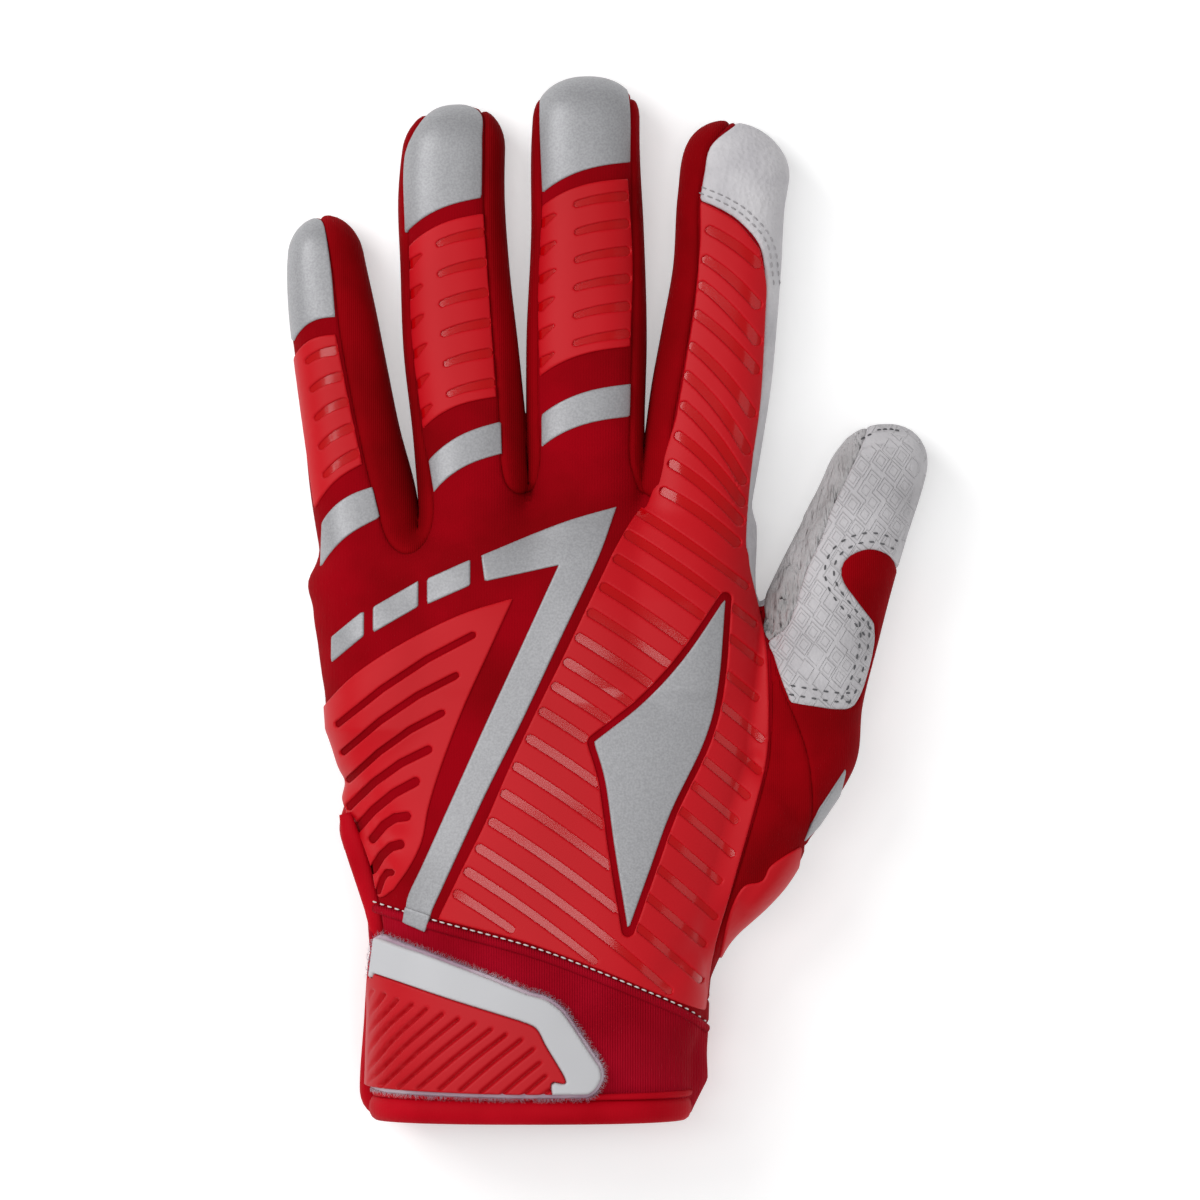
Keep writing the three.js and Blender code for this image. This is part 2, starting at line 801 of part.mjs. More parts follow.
// Colours, roughness
const MATERIALS = {
  crimson: { color: 0x9c0010, roughness: 0.8 },
  knit: { color: 0xa80812, roughness: 0.9 },
  leather: { color: 0xcfcfd2, roughness: 0.75 },
  patch: { color: 0xc6c6ca, roughness: 0.7 },
  grip: { color: 0xcf2a30, roughness: 0.45 },
  silver: { color: 0xaab0b5, roughness: 0.35, metalness: 0.35 },
  rubber: { color: 0xd0d2d5, roughness: 0.5 },
  hook: { color: 0xd8ccd4, roughness: 0.95 },
  binding: { color: 0xb00a14, roughness: 0.8 },
};
const glove = new THREE.Group();
glove.name = "batting_glove";

function addNode(name, solid, material) {
  const data = largest(solid).getMesh();
  const geometry = new THREE.BufferGeometry();
  const count = data.numVert;
  const positions = new Float32Array(count * 3);
  for (let i = 0; i < count; i += 1) {
    positions.set(data.vertProperties.subarray(i * data.numProp, i * data.numProp + 3), i * 3);
  }
  geometry.setAttribute("position", new THREE.BufferAttribute(positions, 3));
  geometry.setIndex(new THREE.BufferAttribute(new Uint32Array(data.triVerts), 1));
  const mesh = new THREE.Mesh(geometry, new THREE.MeshStandardMaterial(MATERIALS[material]));
  mesh.name = name;
  glove.add(mesh);
}

// The cuff band stops short of its end binding
const bindingOutline = [
  [-FAR, -FAR],
  [FAR, -FAR],
  [FAR, BINDING_WIDTH],
  [-FAR, BINDING_WIDTH],
];
const crotchNames = Object.keys(CROTCHES);
const REGIONS = [
  { name: "end_band", outline: bindingOutline, low: UNDER },
  { name: "cuff_band", outline: cuffOutline, low: UNDER, material: "knit" },
  { name: "index_leather", outline: INDEX_LEATHER.map(index), material: "leather" },
  { name: "thumb_patch", outline: thumbPatch, material: "patch" },
  { name: "palm_leather", outline: thumbInner, low: UNDER, floor: true, material: "leather" },
  { name: "thumb_back_panel", outline: thumbBack, material: "crimson" },
  { name: "thumb_gusset", outline: gusset, material: "crimson" },
  ...crotchNames.map((key) => ({
    name: "fourchette_" + key,
    outline: crotchOutline(CROTCHES[key]),
    material: "crimson",
  })),
];

let rest = SHELL;
for (const region of REGIONS) {
  const low = region.low ?? PALM_SEAM_HEIGHT;
  let keep = prism(region.outline, low, SKY);
  let clear = prism(growOutline(region.outline, GAP), low - GAP, SKY);
  if (region.floor) {
    keep = keep.add(floorBox(PALM_SEAM_HEIGHT - GAP));
    clear = clear.add(floorBox(PALM_SEAM_HEIGHT));
  }
  if (region.material) addNode(region.name, rest.intersect(keep), region.material);
  rest = rest.subtract(clear);
}
addNode("back_panel", rest, "crimson");

// End binding of the cuff, broken at the slit
const ringOutline = [
  [-FAR, 0],
  [FAR, 0],
  [FAR, BINDING_WIDTH - GAP],
  [-FAR, BINDING_WIDTH - GAP],
];
const bindingRing = formSolid(BINDING_PROUD)
  .subtract(formSolid(-BINDING_INSIDE))
  .intersect(prism(ringOutline, UNDER, SKY))
  .subtract(prism(SLIT.map(onHand), SLIT_HEIGHT + GAP, SKY));
addNode("cuff_binding", bindingRing, "binding");

// Piping under the seam between hand and cuff
const pipingLine = CUFF_SEAM.slice(1, -1).map(onHand);
const pipingOutline = [
  ...pipingLine.map(([x, y]) => [x, y - GAP]),
  ...pipingLine.map(([x, y]) => [x, y - GAP - PIPING_WIDTH]).reverse(),
];
addNode("seam_piping", overlay(pipingOutline, GAP, PIPING_THICKNESS, GRIP_LOWEST), "knit");

// Strap: hook pad under a white frame with a ribbed inset
const strap = STRAP.map(onCuff);
const inset = STRAP_INSET.map(onCuff);
const padOutline = growOutline(strap, STRAP_OVERHANG);
addNode("strap_hook_pad", overlay(padOutline, HOOK_LIFT, HOOK_THICKNESS, STRAP_LOWEST), "hook");
const strapFrom = HOOK_LIFT + HOOK_THICKNESS + GAP;
const strapSolid = overlay(strap, strapFrom, STRAP_THICKNESS, STRAP_LOWEST);
const frame = strapSolid.subtract(prism(growOutline(inset, GAP), 0, SKY));
addNode("strap_frame", frame, "rubber");
const grooves = [];
const strapRight = strap[4][0];
const strapLeft = inset[1][0];
for (let i = 0; i < RIB_COUNT; i += 1) {
  const x = THREE.MathUtils.lerp(strapLeft, strapRight, (i + 0.5) / RIB_COUNT);
  const from = [x, CUFF_LENGTH];
  const to = [x - CUFF_LENGTH * RIB_SLOPE, 0];
  grooves.push(slotPrism(from, to, RIB_WIDTH));
}
const grooveForm = formSolid(strapFrom + STRAP_THICKNESS - RIB_DEPTH);
const insetCut = Solid.union(grooves)
  .subtract(grooveForm)
  .intersect(prism(growOutline(inset, -WALL), 0, SKY));
const insetSolid = strapSolid.intersect(prism(inset, 0, SKY)).subtract(insetCut);
addNode("strap_grip", insetSolid, "grip");

// Rolled edge and pull tab of the slit
const rollHeight = SLIT_HEIGHT + GAP + SLIT_ROLL_RADIUS;
const slitEdge = SLIT_ROLL_ROWS.map((along) => {
  const y = CUFF_LENGTH + along * HAND_LENGTH;
  const s = sectionAt(LOBES.body, y);
  return new THREE.Vector3(s.x - s.half + WALL / 2, y, rollHeight);
});
const rollShape = new THREE.Shape();
rollShape.absarc(0, 0, SLIT_ROLL_RADIUS, 0, 2 * Math.PI);
const rollPath = new THREE.CatmullRomCurve3(slitEdge);
const rollGeometry = new THREE.ExtrudeGeometry(rollShape, {
  steps: ROLL_STEPS,
  curveSegments: ROLL_SIDES,
  bevelEnabled: false,
  extrudePath: rollPath,
});
const roll = solidFrom(rollGeometry).subtract(OUTER.subtract(slit));
addNode("slit_binding", roll, "binding");
const tabSection = sectionAt(LOBES.body, slitEdge[0].y);
const tabGeometry = new THREE.BoxGeometry(PULL_TAB_THICKNESS, PULL_TAB_LENGTH, PULL_TAB_HEIGHT);
tabGeometry.rotateZ(PULL_TAB_TURN);
tabGeometry.translate(
  tabSection.x - tabSection.half - PULL_TAB_THICKNESS / 2 - GAP,
  slitEdge[0].y + PULL_TAB_LENGTH / 2 + GAP,
  SLIT_HEIGHT - PULL_TAB_HEIGHT,
);
addNode("slit_pull_tab", solidFrom(tabGeometry).subtract(formSolid(GAP)), "binding");

// Prints, grip films and knuckle bars of the long fingers
for (const name of Object.keys(TRIMS)) {
  const trim = TRIMS[name];
  const place = onFinger(name);
  const tip = overlay(trim.tip.map(place), GAP, PRINT_THICKNESS, TRIM_LOWEST);
  addNode("fingertip_print_" + name, tip, "silver");
  const bar = overlay(trim.bar.map(place), GAP, PRINT_THICKNESS, TRIM_LOWEST);
  addNode("knuckle_bar_" + name, bar, "silver");
  const [topLeft, topRight, , bottomRight, bottomLeft] = trim.grip;
  const slots = [];
  for (let i = 0; i < trim.slots; i += 1) {
    const t = (i + FINGER_SLOT_MARGIN) / (trim.slots - 1 + 2 * FINGER_SLOT_MARGIN);
    const left = [mix(topLeft[0], bottomLeft[0], t), topLeft[1]];
    const right = [mix(topRight[0], bottomRight[0], t), mix(topRight[1], bottomRight[1], t)];
    const [start, stop] = [FINGER_SLOT_START, FINGER_SLOT_END].map((share) =>
      place([mix(left[0], right[0], share), mix(left[1], right[1], share)]),
    );
    slots.push(slotPrism(start, stop, FINGER_SLOT_WIDTH));
  }
  const film = overlay(trim.grip.map(place), GAP, GRIP_THICKNESS, TRIM_LOWEST);
  addNode("finger_grip_" + name, film.subtract(Solid.union(slots)), "grip");
}

// Grip film over the hand and the index finger
const handFilm = [
  ...FILM_LEFT.map(index),
  ...HAND_GRIP_LEFT.map(onHand),
  ...HAND_GRIP_BASE.map(onHand),
  ...HAND_GRIP_RIGHT.map(onHand),
  ...FILM_RIGHT.map(index),
];
const badge = BADGE.map(onHand);
const leftBorder = HAND_GRIP_LEFT.map(([across, along]) => ({ y: along, across })).reverse();
const handSlots = HAND_SLOTS.map((row) => {
  const across = between(leftBorder, row.along, "across") + HAND_SLOT_INSET;
  const start = onHand([across, row.along]);
  const length = row.length * HAND_WIDTH;
  const end = [start[0] + length, start[1] + length * HAND_SLOT_SLOPE];
  return slotPrism(start, end, HAND_SLOT_WIDTH);
});
for (const along of INDEX_SLOTS) {
  const start = index([along, INDEX_SLOT_SPAN[0]]);
  const end = index([along - INDEX_SLOT_DROP, INDEX_SLOT_SPAN[1]]);
  handSlots.push(slotPrism(start, end, HAND_SLOT_WIDTH));
}
const slotCuts = Solid.union(handSlots).subtract(
  prism(growOutline(badge, BADGE_SLOT_CLEAR), 0, SKY),
);
const handFilmSolid = overlay(handFilm, GAP, GRIP_THICKNESS, GRIP_LOWEST)
  .subtract(slotCuts)
  .subtract(prism(growOutline(badge, BADGE_BORDER), 0, SKY));
addNode("hand_grip", handFilmSolid, "grip");
addNode("badge", overlay(badge, GAP, PRINT_THICKNESS, GRIP_LOWEST), "silver");

// Grip film on the little-finger side
const ulnarSlots = ULNAR_SLOTS.map((row) =>
  slotPrism(onHand(row.outer), onHand(row.inner), ULNAR_SLOT_WIDTH),
);
const ulnarFilm = overlay(ULNAR_GRIP.map(onHand), GAP, GRIP_THICKNESS, GRIP_LOWEST);
addNode("ulnar_grip", ulnarFilm.subtract(Solid.union(ulnarSlots)), "grip");
const sideFilm = overlay(THUMB_SIDE_GRIP.map(onHand), GAP, GRIP_THICKNESS, GRIP_LOWEST);
addNode("thumb_side_grip", sideFilm, "grip");

// Silver angle stripe, the dashes that carry it on, and the thumb mark
const stripe = overlay(STRIPE.map(onHand), GAP, PRINT_THICKNESS, GRIP_LOWEST);
addNode("angle_stripe", stripe, "silver");
for (let i = 0; i + 1 < DASH_LINE.length; i += 1) {
  const [a, b] = [DASH_LINE[i], DASH_LINE[i + 1]];
  const start = [mix(a[0], b[0], DASH_START), mix(a[1], b[1], DASH_START)];
  const end = [b[0] - DASH_GAP, b[1]];
  const outline = [
    onHand([start[0], start[1] + DASH_HALF_WIDTH]),
    onHand([end[0], end[1] + DASH_HALF_WIDTH]),
    onHand([end[0], end[1] - DASH_HALF_WIDTH]),
    onHand([start[0], start[1] - DASH_HALF_WIDTH]),
  ];
  const dash = overlay(outline, GAP, PRINT_THICKNESS, GRIP_LOWEST);
  addNode("stripe_dash_" + (i + 1), dash, "silver");
}
const mark = overlay(THUMB_MARK.map(thumb), GAP, PRINT_THICKNESS, TRIM_LOWEST);
addNode("thumb_mark", mark, "silver");

// The frame's origin lies under the middle of the whole glove, on the floor
const bounds = new THREE.Box3().setFromObject(glove);
const middle = bounds.getCenter(new THREE.Vector3());
for (const mesh of glove.children) mesh.geometry.translate(-middle.x, -middle.y, -bounds.min.z);

export default glove;
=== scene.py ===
"""Looks of the batting glove: panels, grip films, prints, stitches, strap and cuff.

Millimetres inside the script, in the hand's own frame: x = 0 on the cuff's middle
line, y = 0 at the cuff's end, z = 0 on the floor. Meshes are written in metres.
"""

import math

import bpy
import numpy as np
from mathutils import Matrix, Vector
from mathutils.kdtree import KDTree


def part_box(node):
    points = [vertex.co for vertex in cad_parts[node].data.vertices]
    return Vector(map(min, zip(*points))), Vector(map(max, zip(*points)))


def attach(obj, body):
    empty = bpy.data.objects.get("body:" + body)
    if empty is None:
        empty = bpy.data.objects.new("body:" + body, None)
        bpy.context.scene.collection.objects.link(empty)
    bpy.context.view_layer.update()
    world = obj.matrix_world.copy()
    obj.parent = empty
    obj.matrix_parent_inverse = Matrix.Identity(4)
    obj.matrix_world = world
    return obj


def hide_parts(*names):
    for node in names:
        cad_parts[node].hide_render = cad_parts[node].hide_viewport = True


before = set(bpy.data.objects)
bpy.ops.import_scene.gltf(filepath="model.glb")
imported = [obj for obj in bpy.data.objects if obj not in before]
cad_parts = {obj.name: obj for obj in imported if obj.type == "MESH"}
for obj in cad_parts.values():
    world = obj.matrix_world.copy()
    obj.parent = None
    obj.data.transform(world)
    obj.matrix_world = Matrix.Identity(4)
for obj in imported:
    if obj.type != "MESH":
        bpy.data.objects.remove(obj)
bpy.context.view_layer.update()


# Sizes shared with the solids
HAND_WIDTH = 101.0
HAND_LENGTH = 110.0
HAND_THICKNESS = 31.0
CUFF_LENGTH = 30.0
CUFF_WIDTH = 75.0
CUFF_THICKNESS = 37.0
WALL = 1.3
PALM_SEAM_HEIGHT = 6.0
SLIT_HEIGHT = 21.0
BINDING_PROUD = 1.2
CUFF_LEFT = -0.47
ROUNDNESS = 2.4
CAP_ROUNDNESS = 2.2

# Mesh steps: the grid keeps all pieces together under a million triangles
GRID = 1.38
FINE_PASSES = 1
PICK_MARGIN = 2.5
KEEP_MARGIN = 2.0
PANEL_STOPS = (0.35, 0.9, 2.0)
OVERLAY_SINK = 0.35
CUFF_CUT = 0.6

low, _ = (Vector(c) * 1000 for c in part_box("cuff_binding"))
SHIFT = np.array([low.x - CUFF_LEFT * CUFF_WIDTH + BINDING_PROUD, low.y, 0.0])

# Sections: along, left, right, top
CUFF_ROWS = [
    (0.0, -0.47, 0.457, 1.0),
    (0.5, -0.463, 0.497, 1.0),
    (1.0, -0.463, 0.527, 0.98),
]
HAND_ROWS = [
    (0.071, -0.358, 0.41, 1.145),
    (0.173, -0.37, 0.439, 1.12),
    (0.275, -0.408, 0.477, 1.097),
    (0.378, -0.419, 0.503, 1.065),
    (0.511, -0.428, 0.528, 1.032),
    (0.634, -0.459, 0.528, 1.0),
    (0.766, -0.483, 0.506, 0.968),
    (0.848, -0.472, 0.492, 0.91),
    (0.885, -0.381, 0.492, 0.87),
    (0.92, -0.236, 0.49, 0.81),
    (0.991, -0.192, 0.483, 0.66),
]

# Fingers: length, width, thickness, lean, across, along, cap and rows of
# along, width, side, bottom, top
FINGERS = {
    "little": dict(
        size=(95.6, 22.0, 17.0), lean=-8.5, root=(-0.329, 0.705), cap=0.085,
        rows=[
            (0.0, 1.0, 0.0, 0.05, 1.6), (0.16, 1.03, 0.0, 0.02, 1.4),
            (0.36, 1.06, 0.0, 0.0, 1.17), (0.5, 0.96, -0.02, 0.0, 1.08),
            (0.64, 0.91, -0.03, 0.0, 1.02), (0.78, 0.86, -0.035, 0.0, 1.0),
            (0.9, 0.76, -0.02, 0.0, 0.93), (1.0, 0.62, 0.03, 0.05, 0.85),
        ],
    ),
    "ring": dict(
        size=(111.8, 24.5, 18.5), lean=-2.9, root=(-0.114, 0.787), cap=0.09,
        rows=[
            (0.0, 1.0, 0.0, 0.05, 1.46), (0.15, 1.0, 0.0, 0.02, 1.32),
            (0.34, 1.01, -0.02, 0.0, 1.12), (0.5, 1.02, -0.06, 0.0, 1.05),
            (0.67, 0.963, -0.08, 0.0, 1.0), (0.83, 0.935, -0.075, 0.0, 0.95),
            (0.92, 0.9, -0.03, 0.02, 0.9), (1.0, 0.84, 0.03, 0.05, 0.85),
        ],
    ),
    "middle": dict(
        size=(118.1, 25.6, 19.0), lean=0.5, root=(0.121, 0.787), cap=0.08,
        rows=[
            (0.0, 1.0, 0.0, 0.05, 1.46), (0.15, 1.0, 0.0, 0.02, 1.32),
            (0.32, 1.0, -0.014, 0.0, 1.12), (0.5, 1.02, -0.01, 0.0, 1.05),
            (0.7, 0.955, -0.01, 0.0, 1.0), (0.87, 0.915, -0.035, 0.0, 0.95),
            (1.0, 0.88, -0.02, 0.05, 0.85),
        ],
    ),
    "index": dict(
        size=(108.0, 26.0, 19.0), lean=6.2, root=(0.335, 0.787), cap=0.125,
        rows=[
            (0.0, 1.0, 0.0, 0.05, 1.46), (0.15, 1.0, 0.01, 0.02, 1.32),
            (0.32, 1.01, 0.05, 0.0, 1.12), (0.45, 1.02, 0.07, 0.0, 1.06),
            (0.57, 0.975, 0.085, 0.0, 1.02), (0.7, 0.92, 0.095, 0.0, 1.0),
            (0.82, 0.92, 0.07, 0.0, 0.97), (0.9, 0.94, 0.07, 0.02, 0.93),
            (1.0, 0.93, -0.03, 0.05, 0.85),
        ],
    ),
    "thumb": dict(
        size=(127.6, 27.0, 23.0), lean=21.0, root=(0.314, -0.011), cap=0.085,
        rows=[
            (0.0, 0.6, 0.0, 0.3, 0.9), (0.08, 0.77, -0.04, 0.1, 1.05),
            (0.185, 0.97, 0.125, 0.0, 1.12), (0.29, 1.07, 0.17, 0.0, 1.12),
            (0.4, 1.13, 0.245, 0.0, 1.08), (0.5, 1.05, 0.16, 0.0, 1.05),
            (0.617, 1.03, 0.095, 0.0, 1.0), (0.7, 1.03, 0.045, 0.0, 0.97),
            (0.8, 0.95, 0.04, 0.0, 0.95), (0.91, 0.86, 0.045, 0.0, 0.9),
            (1.0, 0.78, -0.02, 0.05, 0.8),
        ],
    ),
}
HAND_SINK = 3.0
CUFF_SINK = 1.0
FINGER_SINK = 1.5
FINGER_BLEND = 1.5
HAND_BLEND = 5.0
THUMB_BLEND = 2.2
FLOOR_BLEND = 1.2

# Lowest places of panels and rolls over the floor
FLOOR_GAP = 0.12
ROLL_GAP = 0.04


def hermite(places, values, at):
    """A smooth curve through table rows."""
    slopes = np.gradient(values, places)
    i = np.clip(np.searchsorted(places, at, side="right") - 1, 0, len(places) - 2)
    span = places[i + 1] - places[i]
    t = np.clip((at - places[i]) / span, 0, 1)
    a = (2 * t**3 - 3 * t**2 + 1) * values[i] + (t**3 - 2 * t**2 + t) * span * slopes[i]
    b = (3 * t**2 - 2 * t**3) * values[i + 1] + (t**3 - t**2) * span * slopes[i + 1]
    return a + b


class Lobe:
    """One rounded body of the glove: a row of superellipse sections along y."""

    def __init__(self, rows, cap, power=ROUNDNESS):
        table = np.array(rows, float)
        self.first, self.last = table[0, 0], table[-1, 0]
        self.y = np.linspace(self.first, self.last, 260)
        self.x, self.half, self.low, self.high = (
            hermite(table[:, 0], table[:, k], self.y) for k in (1, 2, 3, 4)
        )
        self.cap = cap
        self.power = power

    def section(self, y):
        return [np.interp(y, self.y, v) for v in (self.x, self.half, self.low, self.high)]

    def field(self, p):
        x, half, low_z, high_z = self.section(p[:, 1])
        tall = (high_z - low_z) / 2
        u = np.abs((p[:, 0] - x) / half)
        w = np.abs((p[:, 2] - (low_z + high_z) / 2) / tall)
        r = (u**self.power + w**self.power) ** (1 / self.power)
        v = np.maximum(0, (p[:, 1] - (self.last - self.cap)) / self.cap)
        r = (r**CAP_ROUNDNESS + v**CAP_ROUNDNESS) ** (1 / CAP_ROUNDNESS)
        out = (r - 1) * np.minimum(half, tall)
        return out + np.maximum(0, self.first - p[:, 1] - 20) * 0.5


def finger_lobe(data):
    length, width, thick = data["size"]
    drift = math.tan(math.radians(data["lean"]))
    x0 = data["root"][0] * HAND_WIDTH
    y0 = CUFF_LENGTH + data["root"][1] * HAND_LENGTH
    rows = [
        (
            y0 + a * length,
            x0 + drift * a * length + side * width,
            w * width / 2,
            bottom * thick - FINGER_SINK,
            top * thick,
        )
        for a, w, side, bottom, top in data["rows"]
    ]
    return Lobe(rows, data["cap"] * length)


def body_lobe():
    def row(y, width, left, right, top, thick, sink):
        return (y, (left + right) / 2 * width, (right - left) / 2 * width, -sink, top * thick)

    rows = [
        row(a * CUFF_LENGTH, CUFF_WIDTH, l, r, t, CUFF_THICKNESS, CUFF_SINK)
        for a, l, r, t in CUFF_ROWS
    ]
    rows += [
        row(CUFF_LENGTH + a * HAND_LENGTH, HAND_WIDTH, l, r, t, HAND_THICKNESS, HAND_SINK)
        for a, l, r, t in HAND_ROWS
    ]
    return Lobe(rows, 7.0)


LOBES = {name: finger_lobe(data) for name, data in FINGERS.items()}
BODY = body_lobe()


def smooth_min(a, b, k):
    h = np.maximum(0, k - np.abs(a - b)) / k
    return np.minimum(a, b) - h * h * k * 0.25


# Dents fade out towards the floor
DENT_LOWEST = 6
DENT_FADE = 4
# Soft dents on the back: start, end, width, depth, in shares of the hand
CREASES = [
    ((0.555, 0.5), (0.6, 0.3), 3.0, 0.9),
    ((0.5, 0.46), (0.585, 0.36), 2.2, 0.7),
    ((0.44, 0.14), (0.56, 0.3), 2.4, 0.8),
    ((0.4, 0.02), (0.47, 0.15), 2.5, 0.8),
    ((-0.42, 0.72), (-0.3, 0.8), 4.0, 0.35),
    ((-0.16, 0.9), (-0.02, 0.955), 4.0, 0.3),
    ((-0.39, 0.33), (-0.33, 0.24), 2.5, 0.9),
    ((-0.4, 0.42), (-0.3, 0.31), 3.0, 0.6),
    ((0.08, 0.99), (0.22, 0.95), 4.0, 0.3),
    ((-0.36, 0.86), (-0.22, 0.8), 3.5, 0.45),
    ((-0.3, 0.78), (-0.12, 0.82), 3.0, 0.25),
    ((-0.43, 0.6), (-0.33, 0.68), 3.5, 0.3),
    ((0.3, 0.03), (0.4, 0.12), 3.5, 0.5),
]
# Soft folds of the cuff, in shares of the cuff
FOLDS = [
    ((0.15, 0.8), (0.4, 0.55), 4.0, 0.5),
    ((0.3, 0.35), (0.48, 0.5), 4.0, 0.5),
    ((0.22, 0.2), (0.4, 0.3), 3.0, 0.35),
    ((-0.3, 1.35), (-0.1, 1.15), 3.0, 0.4),
]

# Sharp folds of the leather at the root of the thumb: places in mm, width, depth
WEB_FOLDS = [
    ((56.6, 111.8), (58.9, 124.9), 0.9, 0.7), ((58.9, 124.9), (65.5, 139.3), 0.9, 0.5),
    ((53.3, 109.8), (57.9, 116.4), 0.8, 0.7), ((52.4, 113.1), (55.6, 105.2), 0.8, 0.6),
    ((55.4, 119.5), (61.5, 134.0), 0.8, 0.4), ((59.2, 117.0), (60.4, 124.0), 0.7, 0.5),
    ((60.4, 124.0), (64.0, 131.5), 0.7, 0.4), ((54.5, 106.5), (58.6, 113.4), 0.9, 0.5),
    ((63.0, 141.0), (69.5, 152.0), 1.2, 0.3),
]


def on_hand(p):
    return (p[0] * HAND_WIDTH, CUFF_LENGTH + p[1] * HAND_LENGTH)


def on_cuff(p):
    return (p[0] * CUFF_WIDTH, p[1] * CUFF_LENGTH)


def on_finger(name):
    lobe = LOBES[name]

    def place(p):
        y = lobe.first + p[0] * (lobe.last - lobe.first)
        x, half, _, _ = lobe.section(y)
        return (float(x + p[1] * half), float(y))

    return place


def placed(place, points):
    return [place(p) for p in points]


def segment_distance(points, a, b):
    a, b = np.array(a, float), np.array(b, float)
    d = b - a
    t = np.clip(((points - a) @ d) / (d @ d), 0, 1)
    return np.linalg.norm(points - a - t[:, None] * d, axis=1)


def dents(p):
    out = np.zeros(len(p))
    fade = np.clip((p[:, 2] - DENT_LOWEST) / DENT_FADE, 0, 1)
    for a, b, width, depth in CREASES:
        dist = segment_distance(p[:, :2], on_hand(a), on_hand(b))
        out += depth * np.exp(-((dist / width) ** 2)) * fade
    for a, b, width, depth in WEB_FOLDS:
        out += depth * np.exp(-((segment_distance(p[:, :2], a, b) / width) ** 2))
    for a, b, width, depth in FOLDS:
        dist = segment_distance(p[:, :2], on_cuff(a), on_cuff(b))
        out += depth * np.exp(-((dist / width) ** 2)) * fade
    return out


def field(p):
    """Rough signed distance to the outside of the glove, negative inside."""
    fingers = None
    for name in ("little", "ring", "middle", "index"):
        f = LOBES[name].field(p)
        fingers = f if fingers is None else smooth_min(fingers, f, FINGER_BLEND)
    out = smooth_min(BODY.field(p), fingers, HAND_BLEND)
    out = smooth_min(out, LOBES["thumb"].field(p), THUMB_BLEND)
    out = out + dents(p)
    return -smooth_min(-out, p[:, 2], FLOOR_BLEND)


def gradient(p, step=0.25):
    g = np.empty_like(p)
    for axis in range(3):
        e = np.zeros(3)
        e[axis] = step
        g[:, axis] = (field(p + e) - field(p - e)) / (2 * step)
    return g


def settle(p, passes=2):
    """Points moved onto the outside surface."""
    for _ in range(passes):
        g = gradient(p)
        f = field(p)
        p = p - g * (f / np.maximum((g * g).sum(1), 0.05))[:, None]
    return p


def normals_at(p):
    g = gradient(p)
    return g / np.maximum(np.linalg.norm(g, axis=1), 1e-6)[:, None]


def surface_net(corner, far, step):
    """Triangles of the surface where the field is zero, on an even grid."""
    axes = [np.arange(corner[k], far[k] + step, step) for k in range(3)]
    n = [len(a) for a in axes]
    grid = np.stack(np.meshgrid(*axes, indexing="ij"), -1).reshape(-1, 3)
    f = np.concatenate([field(part) for part in np.array_split(grid, 12)]).reshape(n)
    inside = f < 0
    corners = [(i, j, k) for i in (0, 1) for j in (0, 1) for k in (0, 1)]

    def shifted(a, c):
        return a[c[0] : n[0] - 1 + c[0], c[1] : n[1] - 1 + c[1], c[2] : n[2] - 1 + c[2]]

    count = sum(shifted(inside, c).astype(np.int8) for c in corners)
    active = (count > 0) & (count < 8)
    cell = -np.ones(active.shape, int)
    cell[active] = np.arange(active.sum())
    where = np.argwhere(active)
    total = np.zeros((len(where), 3))
    hits = np.zeros(len(where))
    for a in corners:
        for axis in range(3):
            if a[axis]:
                continue
            b = tuple(v + (k == axis) for k, v in enumerate(a))
            fa = f[tuple((where + a).T)]
            fb = f[tuple((where + b).T)]
            cross = (fa < 0) != (fb < 0)
            t = np.where(cross, fa / np.where(cross, fa - fb, 1), 0)
            point = np.array(a) + t[:, None] * (np.array(b) - np.array(a))
            total += np.where(cross[:, None], point, 0)
            hits += cross
    verts = np.array(corner) + step * (where + total / hits[:, None])
    faces = []
    for axis in range(3):
        u, v = [k for k in range(3) if k != axis]
        lo = [slice(None)] * 3
        hi = [slice(None)] * 3
        lo[axis], hi[axis] = slice(0, -1), slice(1, None)
        cross = inside[tuple(lo)] != inside[tuple(hi)]
        spots = np.argwhere(cross)
        ok = (spots[:, u] > 0) & (spots[:, v] > 0)
        ok &= (spots[:, u] < n[u] - 1) & (spots[:, v] < n[v] - 1)
        spots = spots[ok]
        quad = []
        for du, dv in ((1, 1), (0, 1), (0, 0), (1, 0)):
            c = spots.copy()
            c[:, u] -= du
            c[:, v] -= dv
            quad.append(cell[tuple(c.T)])
        quad = np.stack(quad, 1)
        flip = ~inside[tuple(spots.T)]
        if axis == 1:
            flip = ~flip
        quad[flip] = quad[flip][:, ::-1]
        faces += [quad[:, [0, 1, 2]], quad[:, [0, 2, 3]]]
    return verts, np.concatenate(faces)


